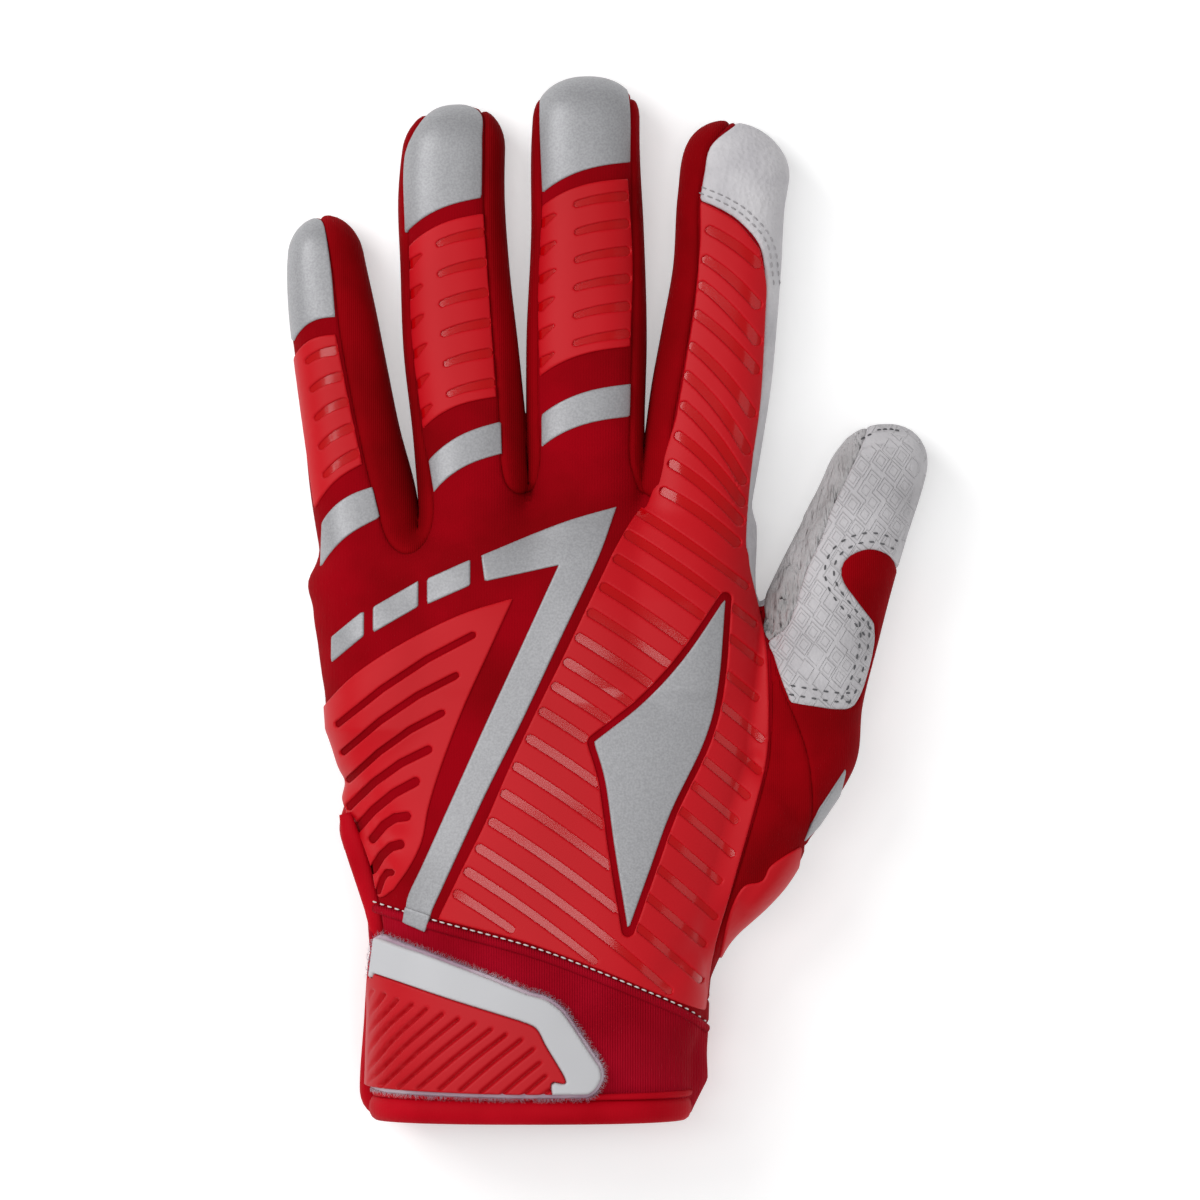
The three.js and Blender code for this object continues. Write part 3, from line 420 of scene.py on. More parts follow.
def slice_mesh(v, f, d):
    """The mesh cut where d is zero: vertices, faces and each face's side, True where d > 0."""
    side = d > 0
    s = side[f]
    total = s.sum(1)
    whole = (total == 0) | (total == 3)
    mixed = f[~whole]
    sm = s[~whole]
    lone_inside = sm.sum(1) == 1
    lone = np.where(lone_inside, sm.argmax(1), (~sm).argmax(1))
    rows = np.arange(len(mixed))
    a = mixed[rows, lone]
    b = mixed[rows, (lone + 1) % 3]
    c = mixed[rows, (lone + 2) % 3]
    edges = np.sort(np.concatenate([np.stack([a, b], 1), np.stack([a, c], 1)]), 1)
    unique, index = np.unique(edges, axis=0, return_inverse=True)
    index = index.reshape(-1)
    p, q = unique[:, 0], unique[:, 1]
    t = np.clip(d[p] / np.where(d[p] == d[q], 1, d[p] - d[q]), 0.02, 0.98)
    new = v[p] + t[:, None] * (v[q] - v[p])
    ab = index[: len(mixed)] + len(v)
    ac = index[len(mixed) :] + len(v)
    faces = np.concatenate(
        [f[whole], np.stack([a, ab, ac], 1), np.stack([ab, b, c], 1), np.stack([ab, c, ac], 1)]
    )
    sides = np.concatenate([total[whole] == 3, lone_inside, ~lone_inside, ~lone_inside])
    return np.concatenate([v, new]), faces, sides, (p, q, t)


def carry(values, cut):
    """A value per vertex carried to the vertices that a cut added."""
    p, q, t = cut
    if values.ndim == 1:
        return np.concatenate([values, values[p] + t * (values[q] - values[p])])
    return np.concatenate([values, values[p] + t[:, None] * (values[q] - values[p])])


def compact(v, f, *extra):
    used, inverse = np.unique(f, return_inverse=True)
    return [v[used], inverse.reshape(-1, 3)] + [e[used] for e in extra]


def subdivide(v, f):
    """Each triangle split in four, new points settled on the surface."""
    edges = np.sort(np.concatenate([f[:, [0, 1]], f[:, [1, 2]], f[:, [2, 0]]]), 1)
    unique, index = np.unique(edges, axis=0, return_inverse=True)
    index = index.reshape(-1)
    mid = settle((v[unique[:, 0]] + v[unique[:, 1]]) / 2, 1)
    n = len(f)
    ab, bc, ca = index[:n] + len(v), index[n : 2 * n] + len(v), index[2 * n :] + len(v)
    a, b, c = f.T
    faces = np.concatenate(
        [np.stack(t, 1) for t in ((a, ab, ca), (ab, b, bc), (ca, bc, c), (ab, bc, ca))]
    )
    return np.concatenate([v, mid]), faces


def border_edges(f):
    edges = np.concatenate([f[:, [0, 1]], f[:, [1, 2]], f[:, [2, 0]]])
    keys = np.sort(edges, 1)
    _, index, counts = np.unique(keys, axis=0, return_inverse=True, return_counts=True)
    return edges[counts[index.reshape(-1)] == 1]


def border_distance(v, f, limit):
    """Distance of each vertex from the sheet's border, up to a limit."""
    edges = border_edges(f)
    a, b = v[edges[:, 0]], v[edges[:, 1]]
    points = np.concatenate([a + t * (b - a) for t in (0, 0.25, 0.5, 0.75)])
    tree = KDTree(len(points))
    for i, point in enumerate(points):
        tree.insert(point, i)
    tree.balance()
    return np.array([min(limit, tree.find(point)[2]) for point in v])


def polygon_distance(points, outline):
    """Signed distance to a closed outline, positive inside."""
    p = np.array(outline, float)
    q = np.roll(p, -1, axis=0)
    best = np.full(len(points), 1e9)
    inside = np.zeros(len(points), bool)
    x, y = points[:, 0], points[:, 1]
    for a, b in zip(p, q):
        d = b - a
        length = d @ d
        if length < 1e-9:
            continue
        t = np.clip(((x - a[0]) * d[0] + (y - a[1]) * d[1]) / length, 0, 1)
        best = np.minimum(best, (x - a[0] - t * d[0]) ** 2 + (y - a[1] - t * d[1]) ** 2)
        crossing = (a[1] > y) != (b[1] > y)
        where = a[0] + (y - a[1]) * d[0] / (d[1] if abs(d[1]) > 1e-9 else 1e-9)
        inside ^= crossing & (x < where)
    best = np.sqrt(best)
    return np.where(inside, best, -best)


def curve(points, steps=6):
    """A smooth open curve through points, for one stretch of an outline."""
    p = np.array(points, float)
    if len(p) < 3:
        return [tuple(v) for v in p]
    ext = np.concatenate([[2 * p[0] - p[1]], p, [2 * p[-1] - p[-2]]])
    out = []
    for i in range(len(p) - 1):
        a, b, c, d = ext[i : i + 4]
        for k in range(steps):
            t = k / steps
            out.append(
                0.5 * (2 * b + (c - a) * t + (2 * a - 5 * b + 4 * c - d) * t * t
                       + (3 * b - a - 3 * c + d) * t**3)
            )
    out.append(p[-1])
    return [tuple(v) for v in out]


def outline(*stretches):
    """A closed outline of smooth stretches that meet at corners."""
    points = []
    for stretch in stretches:
        points += curve(stretch) if len(stretch) > 2 else [tuple(v) for v in stretch]
    return points


# ---------------------------------------------------------------- materials


def colour(rgb):
    return (*[((c + 0.055) / 1.055) ** 2.4 if c > 0.04045 else c / 12.92 for c in rgb], 1.0)


def new_material(name, rough, metal=0.0, specular=0.5, sheen=0.0, coat=0.0, coat_rough=0.1):
    m = bpy.data.materials.new(name)
    m.use_nodes = True
    shader = m.node_tree.nodes["Principled BSDF"]
    shader.inputs["Roughness"].default_value = rough
    shader.inputs["Metallic"].default_value = metal
    shader.inputs["Specular IOR Level"].default_value = specular
    shader.inputs["Sheen Weight"].default_value = sheen
    shader.inputs["Coat Weight"].default_value = coat
    shader.inputs["Coat Roughness"].default_value = coat_rough
    return m, m.node_tree.nodes, m.node_tree.links, shader


def coordinates(nodes, links, scale=(1, 1, 1), turn=0.0):
    tex = nodes.new("ShaderNodeTexCoord")
    mapping = nodes.new("ShaderNodeMapping")
    mapping.inputs["Scale"].default_value = scale
    mapping.inputs["Rotation"].default_value = (0, 0, turn)
    links.new(tex.outputs["Object"], mapping.inputs["Vector"])
    return mapping.outputs["Vector"]


def noise(nodes, links, vector, scale, detail=3.0):
    n = nodes.new("ShaderNodeTexNoise")
    n.inputs["Scale"].default_value = scale
    n.inputs["Detail"].default_value = detail
    links.new(vector, n.inputs["Vector"])
    return n.outputs["Fac"]


def ramp(nodes, links, value, stops):
    r = nodes.new("ShaderNodeValToRGB")
    while len(r.color_ramp.elements) < len(stops):
        r.color_ramp.elements.new(0.5)
    for element, (place, rgb) in zip(r.color_ramp.elements, stops):
        element.position = place
        element.color = colour(rgb)
    links.new(value, r.inputs["Fac"])
    return r.outputs["Color"]


def bump(nodes, links, shader, heights):
    """Bumps stacked from (height socket, distance in metres, strength)."""
    last = None
    for height, distance, strength in heights:
        b = nodes.new("ShaderNodeBump")
        b.inputs["Distance"].default_value = distance
        b.inputs["Strength"].default_value = strength
        links.new(height, b.inputs["Height"])
        if last is not None:
            links.new(last, b.inputs["Normal"])
        last = b.outputs["Normal"]
    links.new(last, shader.inputs["Normal"])


def wave(nodes, links, vector, scale):
    w = nodes.new("ShaderNodeTexWave")
    w.wave_type = "BANDS"
    w.bands_direction = "X"
    w.inputs["Scale"].default_value = scale
    w.inputs["Distortion"].default_value = 0.6
    w.inputs["Detail"].default_value = 1.0
    links.new(vector, w.inputs["Vector"])
    return w.outputs["Fac"]


def cloth_material(name, dark, light, rib, rib_strength, rough=0.85, turn=0.0):
    m, nodes, links, shader = new_material(name, rough, specular=0.05, sheen=0.02)
    shader.inputs["Sheen Roughness"].default_value = 0.4
    shader.inputs["Sheen Tint"].default_value = colour((0.9, 0.2, 0.25))
    v = coordinates(nodes, links, turn=turn)
    broad = noise(nodes, links, v, 45, 3)
    links.new(ramp(nodes, links, broad, [(0.35, dark), (0.65, light)]), shader.inputs["Base Color"])
    fine = noise(nodes, links, v, 2600, 2)
    ribs = wave(nodes, links, v, rib)
    bump(nodes, links, shader, [(ribs, 0.0002, rib_strength), (fine, 0.0002, 0.25)])
    return m


def leather_material(
    name, dark, light, grain_scale, grain, cells=False, wrinkled=False, rough=0.66,
):
    m, nodes, links, shader = new_material(name, rough, specular=0.25)
    v = coordinates(nodes, links)
    broad = noise(nodes, links, v, 70, 4)
    links.new(ramp(nodes, links, broad, [(0.35, dark), (0.65, light)]), shader.inputs["Base Color"])
    fine = nodes.new("ShaderNodeTexVoronoi")
    fine.inputs["Scale"].default_value = grain_scale
    links.new(v, fine.inputs["Vector"])
    heights = [
        (fine.outputs["Distance"], 0.0003, grain), (noise(nodes, links, v, 900, 4), 0.0003, grain),
    ]
    if cells:
        turned = coordinates(nodes, links, scale=(1.0, 0.8, 0.35), turn=math.radians(38))
        cell = nodes.new("ShaderNodeTexVoronoi")
        cell.feature = "SMOOTH_F1"
        cell.distance = "CHEBYCHEV"
        cell.inputs["Scale"].default_value = 300
        cell.inputs["Smoothness"].default_value = 0.12
        cell.inputs["Randomness"].default_value = 0.3
        links.new(turned, cell.inputs["Vector"])
        grey = [(0.2, 1), (0.23, 0.75), (0.26, 1), (0.37, 1), (0.41, 0.35), (0.46, 0.9)]
        shape = ramp(
            nodes, links, cell.outputs["Distance"],
            [(place, (tone, tone, tone)) for place, tone in grey],
        )
        heights.append((shape, 0.0006, 0.6))
    if wrinkled:
        drawn = coordinates(nodes, links, scale=(1.0, 0.22, 0.6), turn=math.radians(21))
        heights.append((noise(nodes, links, drawn, 800, 5), 0.0018, 1.0))
        heights.append((noise(nodes, links, drawn, 260, 3), 0.003, 0.9))
    bump(nodes, links, shader, heights)
    return m


def film_material(name, dark, light, rough, coat=0.0, coat_rough=0.1, grain=0.1, specular=0.22):
    m, nodes, links, shader = new_material(
        name, rough, specular=specular, coat=coat, coat_rough=coat_rough,
    )
    v = coordinates(nodes, links)
    broad = noise(nodes, links, v, 30, 2)
    links.new(ramp(nodes, links, broad, [(0.3, dark), (0.7, light)]), shader.inputs["Base Color"])
    fine = noise(nodes, links, v, 1500, 2)
    bump(nodes, links, shader, [(fine, 0.0001, grain)])
    return m


def silver_material(name, dark, light):
    m, nodes, links, shader = new_material(
        name, 0.5, metal=0.3, specular=0.4, coat=0.06, coat_rough=0.2,
    )
    v = coordinates(nodes, links)
    sparkle = noise(nodes, links, v, 2200, 2)
    links.new(
        ramp(nodes, links, sparkle, [(0.35, dark), (0.65, light)]), shader.inputs["Base Color"],
    )
    bump(
        nodes, links, shader,
        [(sparkle, 0.0001, 0.15), (noise(nodes, links, v, 120, 2), 0.0006, 0.12)],
    )
    return m


CRIMSON = cloth_material("crimson_cloth", (0.51, 0.0, 0.03), (0.6, 0.0, 0.06), 900, 0.3)
# The side panels get a slightly darker copy of the crimson cloth: painted shade of the fourchettes and the
# thumb's sides
CRIMSON_SIDE_SHADED = cloth_material("crimson_side_cloth_painted_shade", (0.49, 0.0, 0.02), (0.58, 0.0, 0.04), 700, 0.35)
KNIT = cloth_material("knit_band", (0.58, 0.01, 0.09), (0.66, 0.03, 0.13), 560, 0.8)
EDGING = cloth_material("edge_binding", (0.66, 0.0, 0.07), (0.74, 0.03, 0.11), 500, 0.1, 0.6)
LEATHER = leather_material("white_leather", (0.74, 0.73, 0.745), (0.83, 0.82, 0.83), 900, 0.6)
# A darker copy of the white leather for the palm and the inner thumb: painted shade; its broad mottling is
# random tone
PALM_LEATHER_SHADED = leather_material(
    "palm_leather", (0.63, 0.62, 0.62), (0.75, 0.74, 0.745), 700, 0.7, wrinkled=True,
)
EMBOSSED = leather_material(
    "embossed_leather", (0.72, 0.71, 0.72), (0.8, 0.79, 0.8), 1200, 0.4, True,
)
FILM = film_material("grip_film", (0.735, 0.0, 0.06), (0.775, 0.02, 0.09), 0.5)
GLOSS = film_material(
    "slot_gloss", (0.69, 0.0, 0.02), (0.73, 0.0, 0.03), 0.3, 0.46, 0.13, 0.0, 0.08,
)
SILVER = silver_material("silver_film", (0.6, 0.6, 0.61), (0.66, 0.66, 0.67))
RUBBER = film_material("frame_rubber", (0.755, 0.755, 0.765), (0.79, 0.79, 0.8), 0.5)
HOOK = cloth_material("hook_cloth", (0.66, 0.52, 0.6), (0.86, 0.8, 0.84), 1500, 0.6, 0.95)
RIBBED = film_material("ribbed_rubber", (0.72, 0.02, 0.08), (0.77, 0.06, 0.11), 0.5)
THREAD = film_material("white_thread", (0.8, 0.78, 0.77), (0.9, 0.88, 0.87), 0.7)
# Dark grey for the patch and thumb-tip stitches: painted shade of the stitch holes
STITCH_HOLE_SHADE = film_material("stitch_hole_painted_shade", (0.26, 0.26, 0.27), (0.4, 0.4, 0.41), 0.9)
PALE_THREAD = film_material("grey_thread", (0.55, 0.54, 0.55), (0.68, 0.67, 0.68), 0.8)


# ---------------------------------------------------------------- pieces


def make_object(name, v, f, material, slot, nodes=()):
    mesh = bpy.data.meshes.new(name)
    mesh.vertices.add(len(v))
    mesh.vertices.foreach_set("co", ((v + SHIFT) / 1000).astype(np.float32).ravel())
    mesh.loops.add(len(f) * 3)
    mesh.loops.foreach_set("vertex_index", np.asarray(f, np.int32).ravel())
    mesh.polygons.add(len(f))
    mesh.polygons.foreach_set("loop_start", np.arange(0, len(f) * 3, 3, dtype=np.int32))
    mesh.update(calc_edges=True)
    mesh.validate()
    mesh.polygons.foreach_set("use_smooth", np.ones(len(mesh.polygons), bool))
    obj = bpy.data.objects.new(name + "_sewn", mesh)
    bpy.context.scene.collection.objects.link(obj)
    mesh.materials.append(material)
    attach(obj, "root")
    if nodes:
        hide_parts(*nodes)
    return obj


def closed_sheet(v, f, normal, top, bottom):
    """A sheet thickened between two heights along its normals, closed round its border."""
    n = len(v)
    edges = border_edges(f)
    upper = v + normal * top[:, None]
    lower = v + normal * bottom[:, None]
    a, b = edges.T
    walls = np.concatenate([np.stack([a, a + n, b], 1), np.stack([b, a + n, b + n], 1)])
    return np.concatenate([upper, lower]), np.concatenate([f, f[:, ::-1] + n, walls])


def edge_profile(v, f, stops, heights):
    """The sheet sliced at distances from its border, with a height at each of them."""
    d = border_distance(v, f, stops[-1] * 1.6)
    for stop in stops:
        v, f, _, cut = slice_mesh(v, f, d - stop)
        d = carry(d, cut)
    return v, f, np.interp(d, [0, *stops], heights)


def panel(name, v, f, material, slot, nodes, dip=0.42, puff=0.0):
    """A sewn panel: full wall, edges rolled down into the seams, puffed between them."""
    heights = (-dip, -dip * 0.4 + puff * 0.3, puff * 0.7, puff)
    v, f, drop = edge_profile(v, f, PANEL_STOPS, heights)
    v, f, drop = compact(v, f, drop)
    normal = normals_at(v)
    inner = np.full(len(v), -WALL)
    pv, pf = closed_sheet(v, f, normal, drop, inner)
    pv[:, 2] = np.maximum(pv[:, 2], FLOOR_GAP)
    return make_object(name, pv, pf, material, slot, nodes)


class Region:
    """A region seen from above, above a lowest height, less what minus takes away."""

    def __init__(self, points, lowest, minus=()):
        self.points = points
        self.lowest = lowest
        self.minus = minus

    def distance(self, p):
        d = np.minimum(polygon_distance(p[:, :2], self.points), p[:, 2] - self.lowest)
        for other in self.minus:
            d = np.minimum(d, -other(p))
        return d


class PalmRegion(Region):
    """A region that also takes all that lies below the palm's seam."""

    def distance(self, p):
        return np.maximum(super().distance(p), PALM_SEAM_HEIGHT - p[:, 2])


def strip_distance(path, width, end_width=None):
    """Positive inside a strip along a path, seen from above; its width may change evenly."""
    end_width = width if end_width is None else end_width
    sizes = np.linspace(width, end_width, len(path)) / 2
    lo = np.array(path).min(0) - width - end_width
    hi = np.array(path).max(0) + width + end_width

    def distance(p):
        best = np.full(len(p), -1e3)
        near = ((p[:, :2] > lo) & (p[:, :2] < hi)).all(1)
        q = p[near, :2]
        inside = np.full(len(q), -1e3)
        for a, b, size_a, size_b in zip(path[:-1], path[1:], sizes[:-1], sizes[1:]):
            a, b = np.array(a, float), np.array(b, float)
            d = b - a
            t = np.clip(((q - a) @ d) / (d @ d), 0, 1)
            gap = np.linalg.norm(q - a - t[:, None] * d, axis=1)
            inside = np.maximum(inside, size_a + (size_b - size_a) * t - gap)
        best[near] = inside
        return best

    return distance


def pick(v, f, region, margin):
    """The faces within a margin of a region, seen from above."""
    points = np.array(region.points)
    lo, hi = points.min(0) - margin, points.max(0) + margin
    ok = ((v[:, :2] > lo) & (v[:, :2] < hi)).all(1) & (v[:, 2] > region.lowest - margin)
    return compact(v, f[ok[f].all(1)])


def overlay(
    name, region, material, slot, nodes, base, thick, bevel=0.18, passes=FINE_PASSES, relief=None,
):
    """A thin layer that follows the glove, cut to its outline, with a rounded edge."""
    v, f = pick(BASE_V, BASE_F, region, PICK_MARGIN)
    for _ in range(passes):
        keep = region.distance(v) > -KEEP_MARGIN
        v, f = compact(v, f[keep[f].any(1)])
        v, f = subdivide(v, f)
    d = np.minimum(polygon_distance(v[:, :2], region.points), v[:, 2] - region.lowest)
    v, f, side, _ = slice_mesh(v, f, d)
    v, f = compact(v, f[side])
    for other in region.minus:
        v, f, side, _ = slice_mesh(v, f, -other(v))
        v, f = compact(v, f[side])
    heights = (base + thick * 0.35, base + thick * 0.85, base + thick)
    v, f, top = edge_profile(v, f, (bevel, bevel * 2.2), heights)
    v, f, top = compact(v, f, top)
    normal = normals_at(v)
    if relief is not None:
        top = top + relief(v)
    pv, pf = closed_sheet(v, f, normal, top, np.full(len(v), base - OVERLAY_SINK))
    return make_object(name, pv, pf, material, slot, nodes)


def tube(
    name, path, radius, material, slot, nodes=(), sides=12, closed=False, flat=1.0, outward=None,
):
    """A roll along a path; flat squeezes it along the outward direction."""
    p = np.array(path, float)
    if closed:
        tangent = np.roll(p, -1, 0) - np.roll(p, 1, 0)
    else:
        tangent = np.gradient(p, axis=0)
    tangent /= np.linalg.norm(tangent, axis=1)[:, None]
    out = normals_at(p) if outward is None else outward
    out = out - tangent * (out * tangent).sum(1)[:, None]
    out /= np.linalg.norm(out, axis=1)[:, None]
    side = np.cross(tangent, out)
    angles = np.arange(sides) / sides * 2 * np.pi
    radii = np.full(len(p), radius) if np.isscalar(radius) else np.asarray(radius)
    rings = (
        p[:, None]
        + radii[:, None, None] * flat * np.cos(angles)[None, :, None] * out[:, None]
        + radii[:, None, None] * np.sin(angles)[None, :, None] * side[:, None]
    )
    v = rings.reshape(-1, 3)
    n = len(p)
    faces = []
    for i in range(n if closed else n - 1):
        for k in range(sides):
            a, b = i * sides + k, i * sides + (k + 1) % sides
            j = (i + 1) % n
            c, d = j * sides + k, j * sides + (k + 1) % sides
            faces += [(a, b, c), (b, d, c)]
    if not closed:
        v = np.concatenate([v, [p[0]], [p[-1]]])
        for k in range(sides):
            faces.append((n * sides, (k + 1) % sides, k))
            faces.append((n * sides + 1, (n - 1) * sides + k, (n - 1) * sides + (k + 1) % sides))
    v[:, 2] = np.maximum(v[:, 2], ROLL_GAP)
    faces = np.array(faces)
    volume = np.einsum("ij,ij->", v[faces[:, 0]], np.cross(v[faces[:, 1]], v[faces[:, 2]]))
    if volume < 0:
        faces = faces[:, ::-1]
    return make_object(name, v, faces, material, slot, nodes)


# The scan for the top surface: from this height down in even steps, then by halves
SCAN_TOP = 60.0
SCAN_STEPS = 120
SCAN_HALVINGS = 8


def drop_on(points):
    """Points seen from above put on the top surface."""
    p = np.array([(x, y, 0.0) for x, y in points], float)

    def inside_at(height):
        q = p.copy()
        q[:, 2] = height
        return field(q) < 0

    found = np.full(len(p), -1.0)
    for z in np.linspace(SCAN_TOP, 0, SCAN_STEPS + 1):
        found[inside_at(z) & (found < 0)] = z
    below = np.maximum(found, 0)
    above = below + SCAN_TOP / SCAN_STEPS
    for _ in range(SCAN_HALVINGS):
        middle = (below + above) / 2
        inside = inside_at(middle)
        below = np.where(inside, middle, below)
        above = np.where(inside, above, middle)
    p[:, 2] = below
    return p


def resample(path, pitch):
    p = np.array(path, float)
    lengths = np.concatenate([[0], np.cumsum(np.linalg.norm(np.diff(p, axis=0), axis=1))])
    count = max(2, int(round(lengths[-1] / pitch)) + 1)
    at = np.linspace(0, lengths[-1], count)
    return np.stack([np.interp(at, lengths, p[:, k]) for k in range(p.shape[1])], 1)


def stitches(name, paths, pitch, length, radius, lift, material, slot):
    """Rows of short rounded stitches lying on the surface."""
    all_v, all_f = [], []
    count = 0
    sides = 6
    stations = ((-0.5, 0.35), (-0.36, 0.8), (0.0, 1.0), (0.36, 0.8), (0.5, 0.35))
    for path in paths:
        p = drop_on(resample(path, pitch))
        p = p[p[:, 2] > PALM_SEAM_HEIGHT]
        tangent = np.gradient(p, axis=0)
        tangent /= np.linalg.norm(tangent, axis=1)[:, None]
        out = normals_at(p)
        out -= tangent * (out * tangent).sum(1)[:, None]
        out /= np.linalg.norm(out, axis=1)[:, None]
        side = np.cross(tangent, out)
        for centre, t, o, s in zip(p, tangent, out, side):
            for along, size in stations:
                arch = lift * (1 - (2 * along) ** 2)
                for k in range(sides):
                    angle = k / sides * 2 * math.pi
                    all_v.append(
                        centre + t * along * length + o * (arch + radius * size * math.cos(angle))
                        + s * radius * size * math.sin(angle)
                    )
            for i in range(len(stations) - 1):
                for k in range(sides):
                    a, b = count + i * sides + k, count + i * sides + (k + 1) % sides
                    all_f += [(a, a + sides, b), (b, a + sides, b + sides)]
            last = count + (len(stations) - 1) * sides
            for k in range(1, sides - 1):
                all_f.append((count, count + k, count + k + 1))
                all_f.append((last, last + k + 1, last + k))
            count += len(stations) * sides
    v, f = np.array(all_v), np.array(all_f)
    volume = np.einsum("ij,ij->", v[f[:, 0]], np.cross(v[f[:, 1]], v[f[:, 2]]))
    if volume < 0:
        f = f[:, ::-1]
    return make_object(name, v, f, material, slot)


def silver_print(name, region, thick=0.35):
    overlay(name, region, SILVER, "silver_film", [name], 0.05, thick)


def grip_film(name, region, thick=0.42):
    overlay(name, region, FILM, "grip_film", [name], 0.08, thick)


def slot_ground(name, region, passes):
    """The glossy ground that a film's slots show."""
    overlay(name, region, GLOSS, "grip_film", [], -0.05, 0.16, 0.1, passes)


# ---------------------------------------------------------------- base surface

BASE_V, BASE_F = surface_net((-60, -4, -2), (95, 238, 42), GRID)
BASE_V = settle(BASE_V, 2)
corner_a, corner_b, corner_c = (BASE_V[BASE_F[:, k]] for k in range(3))
face_normals = np.cross(corner_b - corner_a, corner_c - corner_a)
if (face_normals * normals_at(BASE_V)[BASE_F[:, 0]]).sum() < 0:
    BASE_F = BASE_F[:, ::-1]
BASE_V, BASE_F, open_side, _ = slice_mesh(BASE_V, BASE_F, BASE_V[:, 1] - CUFF_CUT)
BASE_V, BASE_F = compact(BASE_V, BASE_F[open_side])

index = on_finger("index")
thumb = on_finger("thumb")
FAR = 400.0

CUFF_SEAM = [
    (-0.42, 0.19), (-0.33, 0.167), (-0.203, 0.136), (-0.002, 0.087), (0.154, 0.034),
    (0.332, -0.037), (0.39, -0.076), (0.46, -0.1),
]
seam_curve = curve(placed(on_hand, CUFF_SEAM), 10)
cuff_region = Region(
    [(-FAR, seam_curve[0][1]), *seam_curve, (FAR, seam_curve[-1][1]), (FAR, -FAR), (-FAR, -FAR)],
    -9,
)

SLIT = [
    (-0.6, 0.36), (-0.405, 0.345), (-0.398, 0.3), (-0.377, 0.275), (-0.352, 0.251), (-0.343, 0.194), (
        -0.332, 0.142,
    ),
    (-0.325, 0.1), (-0.34, -0.236), (-0.34, -0.4), (-0.6, -0.4),
]
slit_region = Region(placed(on_hand, SLIT), SLIT_HEIGHT)

INDEX_BORDER = [
    (0.996, 0.106), (0.948, -0.441), (0.89, -0.6), (0.833, -0.64),
]
INDEX_LOWER = [
    (0.833, -0.64), (0.812, -0.2), (0.785, 0.18), (0.735, 0.58), (0.66, 0.74), (0.594, 0.775),
    (0.421, 0.845), (0.291, 0.87), (0.208, 0.92), (0.12, 1.0),
]
# The strip of index leather narrows beside the film down to the thumb
WEB_LEFT = [(0.484, 0.89), (0.49, 0.846), (0.509, 0.771), (0.523, 0.714), (0.526, 0.7)]
WEB_BOTTOM = [(0.526, 0.7), (0.516, 0.774), (0.56, 0.934)]
index_region = Region(
    outline(
        placed(index, INDEX_BORDER),
        placed(index, INDEX_LOWER) + placed(on_hand, WEB_LEFT),
        placed(on_hand, WEB_BOTTOM),
        [index((1.2, 2.4)), index((1.2, 0.1))],
    ),
    PALM_SEAM_HEIGHT,
)

THUMB_CREASE = [
    (1.04, -0.42), (0.988, -0.415), (0.909, -0.556), (0.85, -0.59), (0.806, -0.54),
    (0.727, -0.543), (0.649, -0.56), (0.616, -0.8),
]
THUMB_BOTTOM = [(0.616, -0.8), (0.56, -0.5), (0.509, -0.194)]
THUMB_BASE = [(0.509, -0.194), (0.502, 0.2), (0.497, 0.5), (0.496, 0.74)]
THUMB_RIGHT = [
    (0.496, 0.74), (0.503, 0.87), (0.53, 0.95), (0.58, 0.965), (0.62, 0.93), (0.648, 0.85),
]
THUMB_WINDOW = [
    (0.648, 0.85), (0.666, 0.668), (0.691, 0.424), (0.715, 0.19), (0.735, 0.06), (0.752, 0.03),
    (0.766, 0.1), (0.776, 0.3), (0.775, 0.55), (0.762, 0.84), (0.741, 1.014),
]
crease = curve(placed(thumb, THUMB_CREASE), 8)
patch_points = outline(
    placed(thumb, THUMB_CREASE),
    placed(thumb, THUMB_BOTTOM),
    placed(thumb, THUMB_BASE),
    placed(thumb, THUMB_RIGHT),
    placed(thumb, THUMB_WINDOW),
    [thumb((0.741, 1.6)), thumb((1.1, 1.6))],
)
# Below the thumb's widest place the patch leaves the side to the cloth
THUMB_SIDE_BOX = [thumb((0.48, 0.6)), thumb((0.7, 0.6)), thumb((0.7, 1.5)), thumb((0.48, 1.5))]
PATCH_LOWEST = 12.0


def below_patch(p):
    return np.minimum(polygon_distance(p[:, :2], THUMB_SIDE_BOX), PATCH_LOWEST - p[:, 2])


patch_region = Region(patch_points, PALM_SEAM_HEIGHT, [below_patch])
inner_region = PalmRegion([*crease, *placed(on_hand, WEB_BOTTOM), thumb((1.1, -2.2))], -9)

GUSSET_RIGHT = [
    (0.61, 0.28), (0.626, 0.357), (0.617, 0.458), (0.59, 0.537), (0.557, 0.607), (0.526, 0.7),
]
HAND_RIGHT = [
    (0.526, 0.7), (0.532, 0.656), (0.534, 0.545), (0.528, 0.462), (0.506, 0.378), (0.452, 0.21),
    (0.408, 0.071), (0.374, -0.03),
]
gusset_line = curve(placed(on_hand, GUSSET_RIGHT))
hand_line = curve(placed(on_hand, HAND_RIGHT))
back_region = Region(
    [
        *gusset_line, thumb((0.62, -0.79)), thumb((0.85, -0.2)), thumb((0.85, 1.9)),
        thumb((0.2, 2.8)),
    ],
    PALM_SEAM_HEIGHT,
)
gusset_region = Region(
    [*hand_line, (FAR, hand_line[-1][1]), (FAR, gusset_line[0][1]), *gusset_line], PALM_SEAM_HEIGHT,
)

